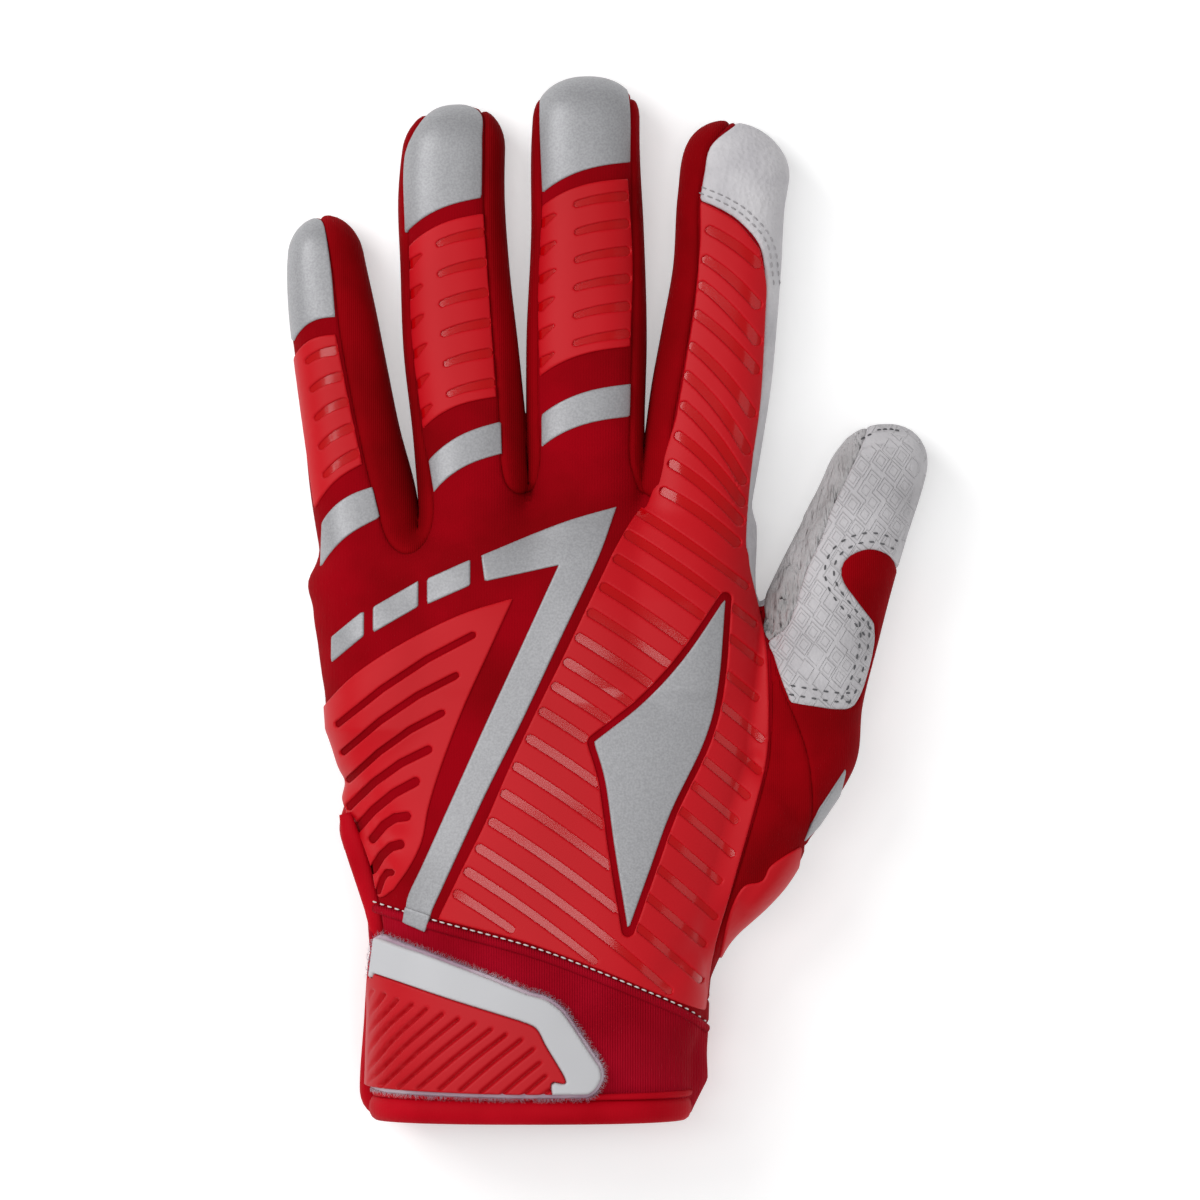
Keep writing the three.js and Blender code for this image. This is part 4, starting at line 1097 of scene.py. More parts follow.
CROTCHES = {
    "little_ring": (
        (
            "little",
            [
                (1.03, -0.3), (0.985, -0.05), (0.94, 0.1), (0.86, 0.19), (0.72, 0.15), (0.56, 0.17),
                (0.414, 0.2),
            ],
        ),
        [
            (-0.34, 0.972), (-0.322, 0.92), (-0.303, 0.895), (-0.276, 0.883), (-0.25, 0.893),
            (-0.23, 0.92), (-0.219, 0.97),
        ],
        (
            "ring",
            [
                (0.26, -0.8), (0.34, -0.88), (0.5, -0.88), (0.7, -0.87), (0.86, -0.93),
                (0.95, -0.84), (1.0, -0.5), (1.03, -0.3),
            ],
        ),
    ),
    "ring_middle": (
        ("ring", [(1.03, 0.2), (0.985, 0.55), (0.93, 0.64), (0.8, 0.66), (0.6, 0.63), (0.4, 0.6)]),
        [
            (-0.066, 1.09), (-0.062, 1.053), (-0.051, 1.022), (-0.025, 1.004), (0.002, 1.016),
            (0.014, 1.053), (0.018, 1.09),
        ],
        (
            "middle",
            [
                (0.34, -0.84), (0.5, -0.85), (0.7, -0.86), (0.86, -0.9), (0.95, -0.9), (1.0, -0.75),
                (1.03, -0.5),
            ],
        ),
    ),
    "middle_index": (
        (
            "middle",
            [(1.03, 0.5), (0.985, 0.85), (0.93, 0.89), (0.8, 0.88), (0.6, 0.83), (0.4, 0.8)],
        ),
        [
            (0.221, 1.09), (0.228, 1.05), (0.243, 1.012), (0.272, 0.997), (0.298, 1.012),
            (0.31, 1.05), (0.315, 1.09),
        ],
        (
            "index",
            [
                (0.36, -0.6), (0.45, -0.57), (0.57, -0.56), (0.7, -0.6), (0.83, -0.66), (0.9, -0.6),
                (0.95, -0.44), (1.0, 0.0), (1.03, 0.1),
            ],
        ),
    ),
}


def crotch_region(key):
    (left, seam), base, (right, other) = CROTCHES[key]
    a, b = on_finger(left), on_finger(right)
    points = curve([a(p) for p in seam] + placed(on_hand, base) + [b(p) for p in other])
    return Region(points, PALM_SEAM_HEIGHT)


PANELS = [
    ("cuff_band", cuff_region, KNIT, "knit_band"),
    ("index_leather", index_region, LEATHER, "white_leather"),
    ("thumb_patch", patch_region, EMBOSSED, "embossed_leather"),
    # The palm piece uses the darker copy of the white leather, which is painted shade
    ("palm_leather", inner_region, PALM_LEATHER_SHADED, "white_leather"),
    # The thumb sides and fourchettes use the darker crimson copy, which is painted shade
    ("thumb_back_panel", back_region, CRIMSON_SIDE_SHADED, "crimson_cloth"),
    ("thumb_gusset", gusset_region, CRIMSON_SIDE_SHADED, "crimson_cloth"),
    ("fourchette_little_ring", crotch_region("little_ring"), CRIMSON_SIDE_SHADED, "crimson_cloth"),
    ("fourchette_ring_middle", crotch_region("ring_middle"), CRIMSON_SIDE_SHADED, "crimson_cloth"),
    ("fourchette_middle_index", crotch_region("middle_index"), CRIMSON_SIDE_SHADED, "crimson_cloth"),
]

PUFF = {"fourchette_" + key: 0.55 for key in CROTCHES}

rest_v, rest_f = BASE_V, BASE_F
rest_v, rest_f, cut_away, _ = slice_mesh(rest_v, rest_f, slit_region.distance(rest_v))
rest_v, rest_f = compact(rest_v, rest_f[~cut_away])
for name, region, material, slot in PANELS:
    rest_v, rest_f, side, _ = slice_mesh(rest_v, rest_f, region.distance(rest_v))
    pv, pf = compact(rest_v, rest_f[side])
    rest_v, rest_f = compact(rest_v, rest_f[~side])
    panel(name, pv, pf, material, slot, [name], puff=PUFF.get(name, 0.0))
panel("back_panel", rest_v, rest_f, CRIMSON, "crimson_cloth", ["back_panel"])

# ---------------------------------------------------------------- overlays

TRIM_LOWEST = 9.0
GRIP_LOWEST = 12.0

TRIMS = {
    "little": dict(
        tip=[
            [(0.995, -0.5), (0.99, -0.1), (0.956, 0.07), (0.861, 0.15), (0.76, 0.09)],
            [(0.76, 0.07), (0.706, -0.95)],
            [(0.706, -1.0), (0.85, -1.05), (0.95, -0.95), (0.995, -0.5)],
        ],
        grip=[
            [(0.666, -1.0), (0.719, 0.04)], [(0.719, 0.04), (0.56, 0.09), (0.414, 0.13)],
            [(0.414, 0.13), (0.308, -0.93)], [(0.308, -0.93), (0.5, -0.98), (0.666, -1.0)],
        ],
        bar=[(0.275, -0.84), (0.36, 0.24), (0.288, 0.29), (0.169, -1.02)],
        slots=5, slot=(6, 19), edge=0,
    ),
    "ring": dict(
        tip=[
            [
                (0.738, -0.9), (0.871, -0.95), (0.93, -0.88), (0.985, -0.56), (1.0, 0.0),
                (0.98, 0.5), (0.92, 0.58), (0.809, 0.6),
            ],
            [(0.809, 0.6), (0.738, -0.9)],
        ],
        grip=[
            [(0.712, -0.83), (0.777, 0.62)], [(0.777, 0.62), (0.58, 0.6), (0.408, 0.55)],
            [(0.408, 0.55), (0.344, -0.82)], [(0.344, -0.82), (0.53, -0.85), (0.712, -0.83)],
        ],
        bar=[(0.28, -0.77), (0.358, 0.59), (0.294, 0.56), (0.217, -0.72)],
        slots=6, slot=(8, 20), edge=4,
    ),
    "middle": dict(
        tip=[
            [
                (0.775, -0.82), (0.926, -0.9), (0.968, -0.85), (0.995, -0.4), (1.0, 0.2),
                (0.985, 0.7), (0.942, 0.84), (0.834, 0.84),
            ],
            [(0.834, 0.84), (0.775, -0.82)],
        ],
        grip=[
            [(0.75, -0.82), (0.802, 0.78)], [(0.802, 0.78), (0.64, 0.8), (0.482, 0.74)],
            [(0.482, 0.74), (0.425, -0.79)], [(0.425, -0.79), (0.58, -0.85), (0.75, -0.82)],
        ],
        bar=[(0.352, -0.76), (0.411, 0.77), (0.349, 0.77), (0.291, -0.76)],
        slots=6, slot=(8, 20), edge=4,
    ),
}
FINGER_SLOT = 1.9
SLOT_LEAD = 0.62
SLOT_SPARE = 0.1
HAND_SLOT = 2.0
INDEX_SLOT = 1.9
ARCH = 1.7
ARCH_STEPS = np.linspace(0, 1, 21)

for name, trim in TRIMS.items():
    place = on_finger(name)

    def arched(a, b):
        """Places between two corners on a line that rises over the rounded back of the finger."""
        rise = ARCH * np.sin(np.pi * ARCH_STEPS ** 0.8) / FINGERS[name]["size"][0]
        return [
            place((a[0] + (b[0] - a[0]) * t + up, a[1] + (b[1] - a[1]) * t))
            for t, up in zip(ARCH_STEPS, rise)
        ]

    tip_side = trim["tip"][0]
    rest = trim["tip"][2:]
    tip = Region(
        outline(
            placed(place, tip_side), arched(*trim["tip"][1][::-1])[::-1],
            *[placed(place, s) for s in rest],
        ),
        TRIM_LOWEST,
    )
    silver_print("fingertip_print_" + name, tip, 0.3)
    corners = trim["bar"]
    bar = Region(arched(corners[0], corners[1]) + arched(corners[3], corners[2])[::-1], TRIM_LOWEST)
    silver_print("knuckle_bar_" + name, bar, 0.3)
    top, right_side, bottom, left_side = trim["grip"]
    grip_points = outline(
        arched(*top), placed(place, right_side), arched(bottom[1], bottom[0])[::-1],
        placed(place, left_side),
    )
    top_left, top_right = trim["grip"][0][0], trim["grip"][0][1]
    bottom_right, bottom_left = trim["grip"][2]
    slots = []
    for i in range(trim["slots"]):
        t = (i + SLOT_LEAD) / (trim["slots"] + SLOT_SPARE)
        left = np.array(top_left) * (1 - t) + np.array(bottom_left) * t
        right = np.array(top_right) * (1 - t) + np.array(bottom_right) * t
        line = arched(left, right)
        first, last = trim["slot"]
        slots.append(strip_distance(line[first:last], FINGER_SLOT * 0.75, FINGER_SLOT * 1.1))
        if trim["edge"]:
            slots.append(strip_distance(line[: trim["edge"]], FINGER_SLOT, 0.5))
    grip_film("finger_grip_" + name, Region(grip_points, TRIM_LOWEST, slots), 0.4)
    slot_ground("finger_gloss_" + name, Region(grip_points, TRIM_LOWEST), 0)

HAND_GRIP_LEFT = [
    (0.232, 0.99), (0.192, 0.901), (0.151, 0.824), (0.071, 0.67), (0.02, 0.576),
    (-0.045, 0.451), (-0.098, 0.339), (-0.147, 0.249), (-0.203, 0.142),
]
HAND_GRIP_BASE = [
    (-0.203, 0.142), (-0.1, 0.119), (-0.002, 0.094), (0.154, 0.041), (0.28, -0.009),
    (0.345, -0.034), (0.385, -0.049),
]
HAND_GRIP_RIGHT = [
    (0.385, -0.049), (0.403, 0.071), (0.447, 0.21), (0.5, 0.378), (0.522, 0.462), (0.528, 0.545), (0.526, 0.656), (0.519, 0.714), (0.504, 0.771), (0.485, 0.846), (
        0.4805, 0.88,
    ),
]
FILM_LEFT = [
    (0.83, -0.61), (0.74, -0.57), (0.62, -0.53), (0.5, -0.52), (0.42, -0.53), (0.36, -0.57),
]
FILM_RIGHT = [
    (0.12, 0.97), (0.208, 0.9), (0.291, 0.85), (0.421, 0.826), (0.594, 0.755), (0.66, 0.715),
    (0.73, 0.55),
]
FILM_TOP = [(0.73, 0.55), (0.78, 0.16), (0.807, -0.2), (0.83, -0.61)]
hand_film_points = outline(
    placed(index, FILM_LEFT) + [on_hand((0.262, 0.985)), on_hand((0.24, 0.972))] + placed(
        on_hand, HAND_GRIP_LEFT[1:],
    ),
    placed(on_hand, HAND_GRIP_BASE),
    placed(on_hand, HAND_GRIP_RIGHT) + placed(index, FILM_RIGHT),
    placed(index, FILM_TOP),
)

BADGE = [
    [(0.43, 0.79), (0.415, 0.62), (0.385, 0.505), (0.31, 0.36), (0.262, 0.24), (0.215, 0.12)],
    [(0.215, 0.12), (0.185, 0.29), (0.165, 0.42), (0.14, 0.5)],
    [(0.14, 0.5), (0.25, 0.58), (0.34, 0.67), (0.43, 0.79)],
]
badge_points = outline(*[placed(on_hand, s) for s in BADGE])
BADGE_BORDER = 1.45


def grown_badge(by):
    def distance(p):
        return polygon_distance(p[:, :2], badge_points) + by

    return distance


# Slots of the hand film start at these shares along its left border
HAND_SLOTS = [
    0.974, 0.926, 0.877, 0.82, 0.768, 0.718, 0.668, 0.619, 0.568, 0.513, 0.457, 0.402, 0.345, 0.292, 0.245, 0.2,
]
HAND_SLOPE = 0.6
HAND_BOW = 0.0035
SLOT_START = 1.3
SLOT_STOP = 1.2
SLOT_REACH = 90
left_rows = np.array(HAND_GRIP_LEFT)[::-1]


def hand_slot(along):
    across = float(np.interp(along, left_rows[:, 1], left_rows[:, 0]))
    x, y = on_hand((across, along))
    run = np.arange(SLOT_START, SLOT_REACH, 2.0)
    path = np.stack([x + run, y - HAND_SLOPE * run - HAND_BOW * run**2], 1)
    outside = np.where(polygon_distance(path, hand_film_points) < SLOT_STOP)[0]
    outside = outside[outside > 2]
    stop = outside[0] if len(outside) else len(path)
    return [tuple(v) for v in path[:stop]]


# Slots of the index finger: along and across of both ends
INDEX_SLOT_ROWS = [
    (0.769, -0.4, 0.7, 0.52), (0.708, -0.44, 0.615, 0.58), (0.654, -0.45, 0.54, 0.64), (
        0.594, -0.46, 0.48, 0.67,
    ),
    (0.527, -0.45, 0.39, 0.7), (0.466, -0.45, 0.313, 0.72), (0.404, -0.44, 0.25, 0.74), (
        0.341, -0.46, 0.205, 0.78,
    ),
    (0.283, -0.5, 0.165, 0.8), (0.225, -0.56, 0.12, 0.8),
]
slot_strips = []
for a0, x0, a1, x1 in INDEX_SLOT_ROWS:
    path = []
    for t in np.linspace(0, 1, 6):
        path.append(index((a0 + (a1 - a0) * (0.72 * t + 0.28 * t * t), x0 + (x1 - x0) * t)))
    slot_strips.append(strip_distance(path, INDEX_SLOT, INDEX_SLOT * 1.25))
for along in HAND_SLOTS:
    slot_strips.append(strip_distance(hand_slot(along), HAND_SLOT, HAND_SLOT * 0.8))


def hand_slots_distance(p):
    d = np.full(len(p), -1e9)
    for strip in slot_strips:
        d = np.maximum(d, strip(p))
    return np.minimum(d, -(grown_badge(BADGE_BORDER + 0.25)(p)))


hand_region = Region(
    hand_film_points, GRIP_LOWEST - 1, [grown_badge(BADGE_BORDER), hand_slots_distance],
)
grip_film("hand_grip", hand_region)
slot_ground("hand_gloss", Region(hand_film_points, GRIP_LOWEST - 1, [grown_badge(BADGE_BORDER)]), 1)
silver_print("badge", Region(badge_points, GRIP_LOWEST))

ULNAR_EDGE = [
    (-0.038, 0.791), (-0.094, 0.678), (-0.147, 0.57), (-0.192, 0.462), (-0.223, 0.372),
    (-0.238, 0.302), (-0.264, 0.25), (-0.302, 0.2),
]
ULNAR_LEFT = [
    (-0.302, 0.2), (-0.335, 0.185), (-0.352, 0.24), (-0.375, 0.3), (-0.405, 0.35), (-0.43, 0.42),
    (-0.47, 0.56),
]
ULNAR_TOP = [(-0.47, 0.56), (-0.392, 0.633), (-0.292, 0.695), (-0.158, 0.756), (-0.038, 0.791)]
ulnar_points = outline(
    placed(on_hand, ULNAR_EDGE), placed(on_hand, ULNAR_LEFT), placed(on_hand, ULNAR_TOP),
)
ULNAR_RISE = 1.4
ULNAR_SLOTS = [
    ((-0.425, 0.535), (-0.127, 0.716), 1.5), ((-0.414, 0.478), (-0.164, 0.634), 1.5), (
        (-0.403, 0.421), (-0.195, 0.558), 1.5,
    ),
    ((-0.401, 0.367), (-0.225, 0.484), 1.8), ((-0.393, 0.312), (-0.253, 0.419), 2.0), (
        (-0.348, 0.302), (-0.272, 0.349), 2.0,
    ),
    ((-0.348, 0.239), (-0.286, 0.292), 2.0), ((-0.336, 0.196), (-0.305, 0.235), 1.5),
]
ulnar_strips = []
for a, b, width in ULNAR_SLOTS:
    p, q = np.array(on_hand(a)), np.array(on_hand(b))
    rise = np.array([0, ULNAR_RISE])
    path = [p, p + (q - p) * 0.33 + rise, p + (q - p) * 0.66 + rise, q]
    ulnar_strips.append(strip_distance([tuple(v) for v in path], width))
grip_film("ulnar_grip", Region(ulnar_points, GRIP_LOWEST, ulnar_strips))

THUMB_SIDE = [
    [
        (0.42, 0.06), (0.44, 0.15), (0.47, 0.204), (0.512, 0.216), (0.53, 0.245), (0.565, 0.268),
        (0.6, 0.285),
    ],
    [(0.6, 0.285), (0.585, 0.2), (0.54, 0.13), (0.47, 0.06), (0.42, 0.02)],
    [(0.42, 0.02), (0.42, 0.06)],
]
side_points = outline(*[placed(on_hand, s) for s in THUMB_SIDE])
grip_film("thumb_side_grip", Region(side_points, GRIP_LOWEST))

STRIPE = [
    [(-0.101, 0.825), (0.0624, 0.858)],
    [
        (0.0624, 0.858), (-0.017, 0.699), (-0.0958, 0.5414), (-0.1675, 0.3946), (-0.235, 0.256),
        (-0.2684, 0.19), (-0.2755, 0.152),
    ],
    [
        (-0.2225, 0.138), (-0.216, 0.16), (-0.194, 0.2046), (-0.0987, 0.3946), (-0.0192, 0.541),
        (0.0634, 0.703), (0.1479, 0.869), (0.19, 0.977),
    ],
    [(0.19, 0.977), (0.0646, 0.942), (-0.109, 0.877)],
]
stripe_points = outline(*[placed(on_hand, s) for s in STRIPE])
silver_print("angle_stripe", Region(stripe_points, GRIP_LOWEST))
STRIPE_TAIL = [(-0.2735, 0.166), (-0.279, 0.134), (-0.23, 0.116), (-0.2185, 0.15)]
overlay(
    "stripe_tail", Region(placed(on_hand, STRIPE_TAIL), GRIP_LOWEST), SILVER, "silver_film", [],
    0.7, 0.3,
)

DASH_LINE = [(-0.45, 0.68), (-0.36, 0.741), (-0.24, 0.8), (-0.125, 0.843)]
DASH_HALF = 0.026
for i, (a, b) in enumerate(zip(DASH_LINE[:-1], DASH_LINE[1:])):
    start = (a[0] + (b[0] - a[0]) * 0.1, a[1] + (b[1] - a[1]) * 0.1)
    corners = [
        (start[0], start[1] + DASH_HALF), (b[0] - 0.008, b[1] + DASH_HALF),
        (b[0] - 0.008, b[1] - DASH_HALF), (start[0], start[1] - DASH_HALF),
    ]
    name = "stripe_dash_%d" % (i + 1)
    silver_print(name, Region(placed(on_hand, corners), GRIP_LOWEST))

MARK = [(0.395, 0.86), (0.321, 0.8), (0.262, 0.87), (0.29, 0.98), (0.344, 1.0)]
silver_print("thumb_mark", Region(placed(thumb, MARK), GRIP_LOWEST), 0.3)

# ---------------------------------------------------------------- strap

STRAP_TOP = [(-0.447, 1.37), (-0.435, 1.372)]
STRAP_UPPER = [(-0.435, 1.372), (-0.24, 1.19), (-0.003, 0.965)]
STRAP_BEND = [(-0.003, 0.965), (0.05, 0.925), (0.09, 0.85)]
STRAP_RIGHT = [(0.09, 0.85), (0.2, 0.44)]
STRAP_CORNER = [(0.2, 0.44), (0.205, 0.36), (0.185, 0.27), (0.165, 0.235)]
STRAP_LOW = [(0.165, 0.235), (-0.1, 0.235), (-0.486, 0.26)]
strap_points = outline(
    *[
        placed(on_cuff, s) for s in (
            STRAP_TOP, STRAP_UPPER, STRAP_BEND, STRAP_RIGHT, STRAP_CORNER, STRAP_LOW,
        )
    ]
)
INSET = [
    [(-0.75, 1.075), (-0.445, 1.08)],
    [(-0.445, 1.08), (-0.443, 1.11)],
    [(-0.443, 1.11), (-0.25, 0.945), (-0.03, 0.775)],
    [(-0.03, 0.775), (0.018, 0.72), (0.045, 0.6)],
    [(0.045, 0.6), (0.105, 0.33), (0.063, 0.32), (0.072, 0.15)],
    [(0.072, 0.15), (-0.75, 0.15)],
]
inset_points = outline(*[placed(on_cuff, s) for s in INSET])


def inset_distance(p):
    return polygon_distance(p[:, :2], inset_points)


def pad_outline(by):
    p = np.array(strap_points)
    q = np.roll(p, -1, 0) - np.roll(p, 1, 0)
    out = np.stack([q[:, 1], -q[:, 0]], 1)
    out /= np.maximum(np.linalg.norm(out, axis=1), 1e-6)[:, None]
    area = (p[:, 0] * np.roll(p[:, 1], -1) - np.roll(p[:, 0], -1) * p[:, 1]).sum()
    return [tuple(v) for v in p + out * by * (1 if area > 0 else -1)]


STRAP_LOWEST = 15.0
overlay(
    "strap_hook_pad", Region(pad_outline(0.9), STRAP_LOWEST), HOOK, "hook_cloth",
    ["strap_hook_pad"], 0.35, 0.9,
)
overlay(
    "strap_frame", Region(strap_points, STRAP_LOWEST, [inset_distance]), RUBBER, "frame_rubber",
    ["strap_frame"], 1.3, 1.3, 0.25,
)

# Grooves of the inset: upper end, middle and lower end, in shares of the cuff
GROOVES = [
    ((0.06, 0.272), (0.045, 0.246), (0.03, 0.22)),
    ((0.045, 0.37), (0.012, 0.3), (-0.023, 0.225)),
    ((0.028, 0.466), (-0.027, 0.355), (-0.083, 0.233)),
    ((0.009, 0.566), (-0.065, 0.415), (-0.141, 0.253)),
    ((-0.026, 0.635), (-0.114, 0.457), (-0.2, 0.265)),
    ((-0.071, 0.672), (-0.167, 0.479), (-0.26, 0.269)),
    ((-0.114, 0.71), (-0.219, 0.497), (-0.32, 0.271)),
    ((-0.161, 0.75), (-0.269, 0.523), (-0.373, 0.275)),
    ((-0.208, 0.785), (-0.318, 0.545), (-0.42, 0.279)),
    ((-0.253, 0.82), (-0.36, 0.57), (-0.458, 0.283)),
    ((-0.298, 0.854), (-0.397, 0.598), (-0.479, 0.285)),
    ((-0.338, 0.885), (-0.427, 0.641), (-0.49, 0.285)),
    ((-0.378, 0.916), (-0.452, 0.66), (-0.497, 0.285)),
    ((-0.413, 0.954), (-0.469, 0.685), (-0.501, 0.285)),
    ((-0.443, 0.979), (-0.48, 0.71), (-0.504, 0.285)),
]
GROOVE_HALF = 0.36
GROOVE_DEPTH = 1.15
# Grooves fade out where the surface turns away from above
GROOVE_STEEP = 0.3
GROOVE_FADE = 0.4
groove_lines = [curve(placed(on_cuff, groove), 3) for groove in GROOVES]


def ribs(p):
    """The grooves' depth, as a height below the inset's top."""
    depth = np.zeros(len(p))
    for line in groove_lines:
        d = np.min([segment_distance(p[:, :2], a, b) for a, b in zip(line[:-1], line[1:])], axis=0)
        depth = np.maximum(depth, np.exp(-((d / GROOVE_HALF) ** 2)))
    facing_up = normals_at(p)[:, 2]
    return -GROOVE_DEPTH * depth * np.clip((facing_up - GROOVE_STEEP) / GROOVE_FADE, 0, 1)


def inside_inset(p):
    return -inset_distance(p)


overlay(
    "strap_grip", Region(strap_points, STRAP_LOWEST, [inside_inset]), RIBBED, "ribbed_rubber",
    ["strap_grip"], 1.3, 1.2, 0.15, 2, ribs,
)


def fibres(name, path, count, length, lift, material, slot, seed):
    """Loose hairs along the edge of the hook cloth."""
    rng = np.random.default_rng(seed)
    fine = resample(path, 0.4)
    centre = np.array(path).mean(0)
    all_v, all_f = [], []
    picks = rng.integers(1, len(fine) - 1, count)
    spots = drop_on([tuple(fine[i]) for i in picks])
    kept = spots[:, 2] > STRAP_LOWEST
    picks, spots = picks[kept], spots[kept]
    outs = normals_at(spots)
    for i, spot, out in zip(picks, spots, outs):
        t = fine[i + 1] - fine[i - 1]
        t = np.array([t[0], t[1], 0.0]) / np.linalg.norm(t)
        away = np.array([t[1], -t[0], 0.0])
        if away[:2] @ (fine[i] - centre) < 0:
            away = -away
        reach = length * rng.uniform(0.35, 1.0)
        bend = rng.uniform(-1.0, 1.0)
        base = spot + out * (lift * rng.uniform(0.4, 1.0)) - away * 0.4
        start = len(all_v)
        radius = rng.uniform(0.035, 0.06)
        for k in range(4):
            u = k / 3
            place = base + away * reach * u + t * bend * reach * u * u + out * 0.35 * math.sin(
                u * 3
            )
            size = radius * (1 - 0.7 * u)
            for angle in (0.0, 2.1, 4.2):
                all_v.append(place + (t * math.cos(angle) + out * math.sin(angle)) * size)
        for k in range(3):
            for c in range(3):
                a, b = start + k * 3 + c, start + k * 3 + (c + 1) % 3
                all_f += [(a, b, a + 3), (b, b + 3, a + 3)]
        all_f += [(start, start + 2, start + 1), (start + 9, start + 10, start + 11)]
    return make_object(name, np.array(all_v), np.array(all_f), material, slot)


fringe = pad_outline(0.9)
fibres("hook_fringe", fringe + [fringe[0]], 1900, 1.6, 1.2, HOOK, "hook_cloth", 7)

# ---------------------------------------------------------------- cuff and seams


RING_POINTS = 240
RING_LOWEST = 1.6


def cuff_ring(y, grow):
    """Points round the cuff, grown outwards, and their outward directions."""
    x, half, low_z, high_z = (float(v) for v in BODY.section(y))
    middle, tall = (low_z + high_z) / 2, (high_z - low_z) / 2
    angles = np.arange(RING_POINTS) / RING_POINTS * 2 * np.pi
    c, s = np.cos(angles), np.sin(angles)
    px = x + (half + grow) * np.sign(c) * np.abs(c) ** (2 / ROUNDNESS)
    pz = middle + (tall + grow) * np.sign(s) * np.abs(s) ** (2 / ROUNDNESS)
    out = np.stack([c, np.zeros(RING_POINTS), s], 1)
    pz = np.maximum(pz, RING_LOWEST + grow)
    return np.stack([px, np.full(RING_POINTS, y), pz], 1), out


# Name, place along the cuff, growth, radius, sides, flatness, solids it replaces
RINGS = [
    ("cuff_binding", 2.9, -0.5, 2.75, 14, 0.62, ["cuff_binding"]),
    ("cuff_binding_fold", 6.3, 0.1, 0.75, 8, 0.8, []),
]
for name, along, grow, radius, sides, flat, nodes in RINGS:
    ring, out = cuff_ring(along, grow)
    tube(name, ring, radius, EDGING, "edge_binding", nodes, sides, True, flat, out)

seam_points = placed(on_hand, CUFF_SEAM[1:-1])
seam_points = curve(
    [(-0.345 * HAND_WIDTH, CUFF_LENGTH + 0.172 * HAND_LENGTH)] + seam_points[1:] + [
        on_hand((0.4, -0.082))
    ],
    10,
)
below = [(x, y - 1.25) for x, y in seam_points]
ROLL_LOWEST = 14.0
roll_path = drop_on(resample(below, 1.2))
roll_path = roll_path[roll_path[:, 2] > ROLL_LOWEST]
tube(
    "seam_piping", roll_path + normals_at(roll_path) * 0.15, 0.95, KNIT, "knit_band",
    ["seam_piping"], 10, False, 0.75,
)
stitches(
    "seam_stitches", [[(x, y + 0.2) for x, y in seam_points]], 1.75, 1.25, 0.2, 0.22, THREAD,
    "white_leather",
)

# Roll of the slit: across and along on the hand, height in mm, half width in mm
SLIT_ROLL = [
    (-0.412, 0.352, 20.5, 1.5), (-0.4, 0.305, 21.0, 2.3), (-0.383, 0.262, 21.3, 2.5), (
        -0.366, 0.21, 21.3, 2.3,
    ),
    (-0.352, 0.165, 21.0, 2.1), (-0.342, 0.12, 20.6, 1.8), (-0.337, 0.085, 20.0, 1.6), (
        -0.336, 0.02, 18.0, 1.5,
    ),
]
slit_rows = np.array([(*on_hand(row[:2]), *row[2:]) for row in SLIT_ROLL])
slit_rows = resample(slit_rows, 1.0)
tube(
    "slit_binding", slit_rows[:, :3], slit_rows[:, 3], EDGING, "edge_binding", ["slit_binding"], 14, False, 0.55,
    np.tile([-0.45, 0, 1.0], (len(slit_rows), 1)),
)
# The roll goes on below the strap to the end of the cuff
LOW_ROLL = [
    (-0.443, 1.38, 16.5), (-0.466, 1.14, 13.5), (-0.479, 0.7, 12.0), (-0.491, 0.3, 11.0),
    (-0.487, 0.14, 10.5), (-0.455, 0.06, 10.5),
]
low_roll = resample(curve([(*on_cuff(row[:2]), row[2]) for row in LOW_ROLL], 5), 1.0)
tube(
    "palm_side_roll", low_roll, 2.3, EDGING, "edge_binding", [], 14, False, 0.7,
    np.tile([-0.8, 0, 0.6], (len(low_roll), 1)),
)
# The pull tab swings in a soft bend: points, hidden root, shift, swing, turn, phase
TAB_POINTS = 14
TAB_ROOT = 1
TAB_SHIFT = 0.9
TAB_SWING = 0.7
TAB_TURN = 5
TAB_PHASE = 0.6
tab_low, tab_high = (np.array(c) * 1000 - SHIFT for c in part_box("slit_pull_tab"))
tab_middle = (tab_low + tab_high) / 2
tab_y = np.linspace(tab_low[1] - TAB_ROOT, tab_high[1], TAB_POINTS)
tab_share = (tab_y - tab_y[0]) / (tab_y[-1] - tab_y[0])
tab_x = tab_middle[0] + TAB_SHIFT - TAB_SWING * np.sin(tab_share * TAB_TURN - TAB_PHASE)
tab_path = np.stack([tab_x, tab_y, np.full(TAB_POINTS, tab_middle[2])], 1)
tube(
    "slit_pull_tab", tab_path, 2.6, EDGING, "edge_binding", ["slit_pull_tab"], 12, False, 0.38,
    np.tile([-1.0, 0, 0.25], (TAB_POINTS, 1)),
)


def inset_path(points, by):
    p = np.array(points, float)
    t = np.gradient(p, axis=0)
    t /= np.maximum(np.linalg.norm(t, axis=1), 1e-6)[:, None]
    return [tuple(v) for v in p + np.stack([-t[:, 1], t[:, 0]], 1) * by]


window_line = curve(placed(thumb, THUMB_WINDOW))
right_line = curve(placed(thumb, THUMB_RIGHT[1:]))
base_line = curve(placed(thumb, THUMB_BASE))
index_line = curve(placed(index, INDEX_LOWER[:5]))
PATCH_ROWS = (1.7, 3.7)
patch_paths = []
for by in PATCH_ROWS:
    patch_paths.append(inset_path(window_line[:-8], by))
    patch_paths.append(inset_path(base_line, by))
    patch_paths.append(inset_path(right_line, by))
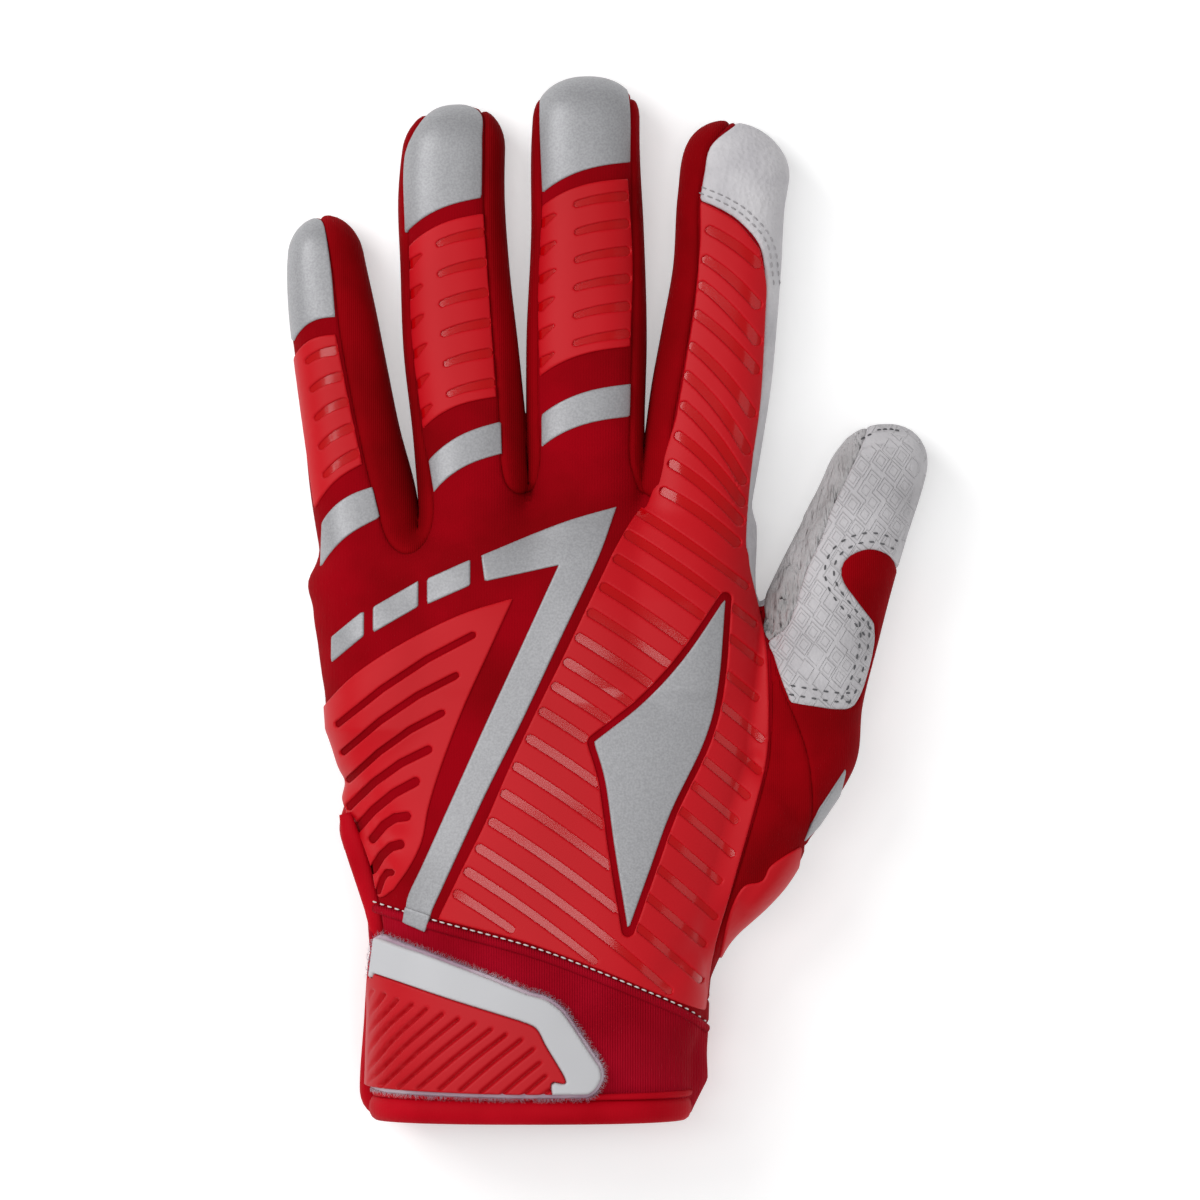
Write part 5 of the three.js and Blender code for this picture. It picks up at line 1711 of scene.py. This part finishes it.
# These stitches carry the dark grey that paints the shade of their holes
stitches("patch_stitches", patch_paths, 2.5, 1.15, 0.24, 0.1, STITCH_HOLE_SHADE, "white_leather")
index_paths = [inset_path(index_line, by) for by in (1.5, 2.9)]
stitches("index_stitches", index_paths, 2.0, 1.3, 0.2, 0.14, PALE_THREAD, "white_leather")
tip_stitches = [
    [thumb((0.973, -0.44)), thumb((0.979, -0.32))], [thumb((0.988, -0.14)), thumb((0.989, -0.02))],
    [thumb((0.989, 0.12)), thumb((0.987, 0.24))],
]
stitches("thumb_tip_stitches", tip_stitches, 3.0, 1.0, 0.24, 0.12, STITCH_HOLE_SHADE, "white_leather")

# ---------------------------------------------------------------- floor, light, camera


def stage_floor():
    size = 3.0
    mesh = bpy.data.meshes.new("floor")
    mesh.from_pydata(
        [(-size, -size, 0), (size, -size, 0), (size, size, 0), (-size, size, 0)], [],
        [(0, 1, 2, 3)],
    )
    obj = bpy.data.objects.new("floor", mesh)
    bpy.context.scene.collection.objects.link(obj)
    m, nodes, links, shader = new_material("floor_paper", 0.95, specular=0.1)
    v = coordinates(nodes, links)
    grain = noise(nodes, links, v, 40, 2)
    links.new(
        ramp(nodes, links, grain, [(0.3, (0.95, 0.95, 0.95)), (0.7, (0.965, 0.965, 0.965))]),
        shader.inputs["Base Color"],
    )
    shader.inputs["Emission Color"].default_value = (1, 1, 1, 1)
    shader.inputs["Emission Strength"].default_value = 0.3
    mesh.materials.append(m)


def area_light(name, place, size, power, target=(0, 0, 0)):
    data = bpy.data.lights.new(name, "AREA")
    data.shape = "RECTANGLE"
    data.size, data.size_y = size
    data.energy = power
    obj = bpy.data.objects.new(name, data)
    obj.location = place
    obj.rotation_euler = (Vector(target) - Vector(place)).to_track_quat("-Z", "Y").to_euler()
    bpy.context.scene.collection.objects.link(obj)


stage_floor()
area_light("strip", (-0.2, 0.04, 1.3), (0.26, 1.2), 5.2)
area_light("key", (-0.75, 0.5, 0.75), (0.6, 0.6), 6.0)
area_light("right", (0.8, -0.1, 0.7), (0.5, 0.5), 0.8)
area_light("front", (-0.1, -0.85, 0.7), (0.6, 0.4), 1.6)

world = bpy.data.worlds.new("studio")
world.use_nodes = True
world.node_tree.nodes["Background"].inputs["Color"].default_value = (0.95, 0.95, 0.96, 1)
world.node_tree.nodes["Background"].inputs["Strength"].default_value = 0.32
bpy.context.scene.world = world
bpy.context.scene.view_settings.view_transform = "Standard"

# The photograph looks straight down; its 1200 pixels span 270 mm at the glove
PHOTO_SPAN = 0.270
PHOTO_CENTRE = (15.5, 116.6, 15.0)
CAMERA_HEIGHT = 1.5
camera_data = bpy.data.cameras.new("camera")
camera_data.sensor_width = 36.0
camera_data.sensor_height = 36.0
camera_data.lens = 36.0 * CAMERA_HEIGHT / PHOTO_SPAN
camera = bpy.data.objects.new("camera", camera_data)
centre = (np.array(PHOTO_CENTRE) + SHIFT) / 1000
camera.location = (centre[0], centre[1], centre[2] + CAMERA_HEIGHT)
camera.rotation_euler = (0, 0, 0)
bpy.context.scene.collection.objects.link(camera)
bpy.context.scene.camera = camera
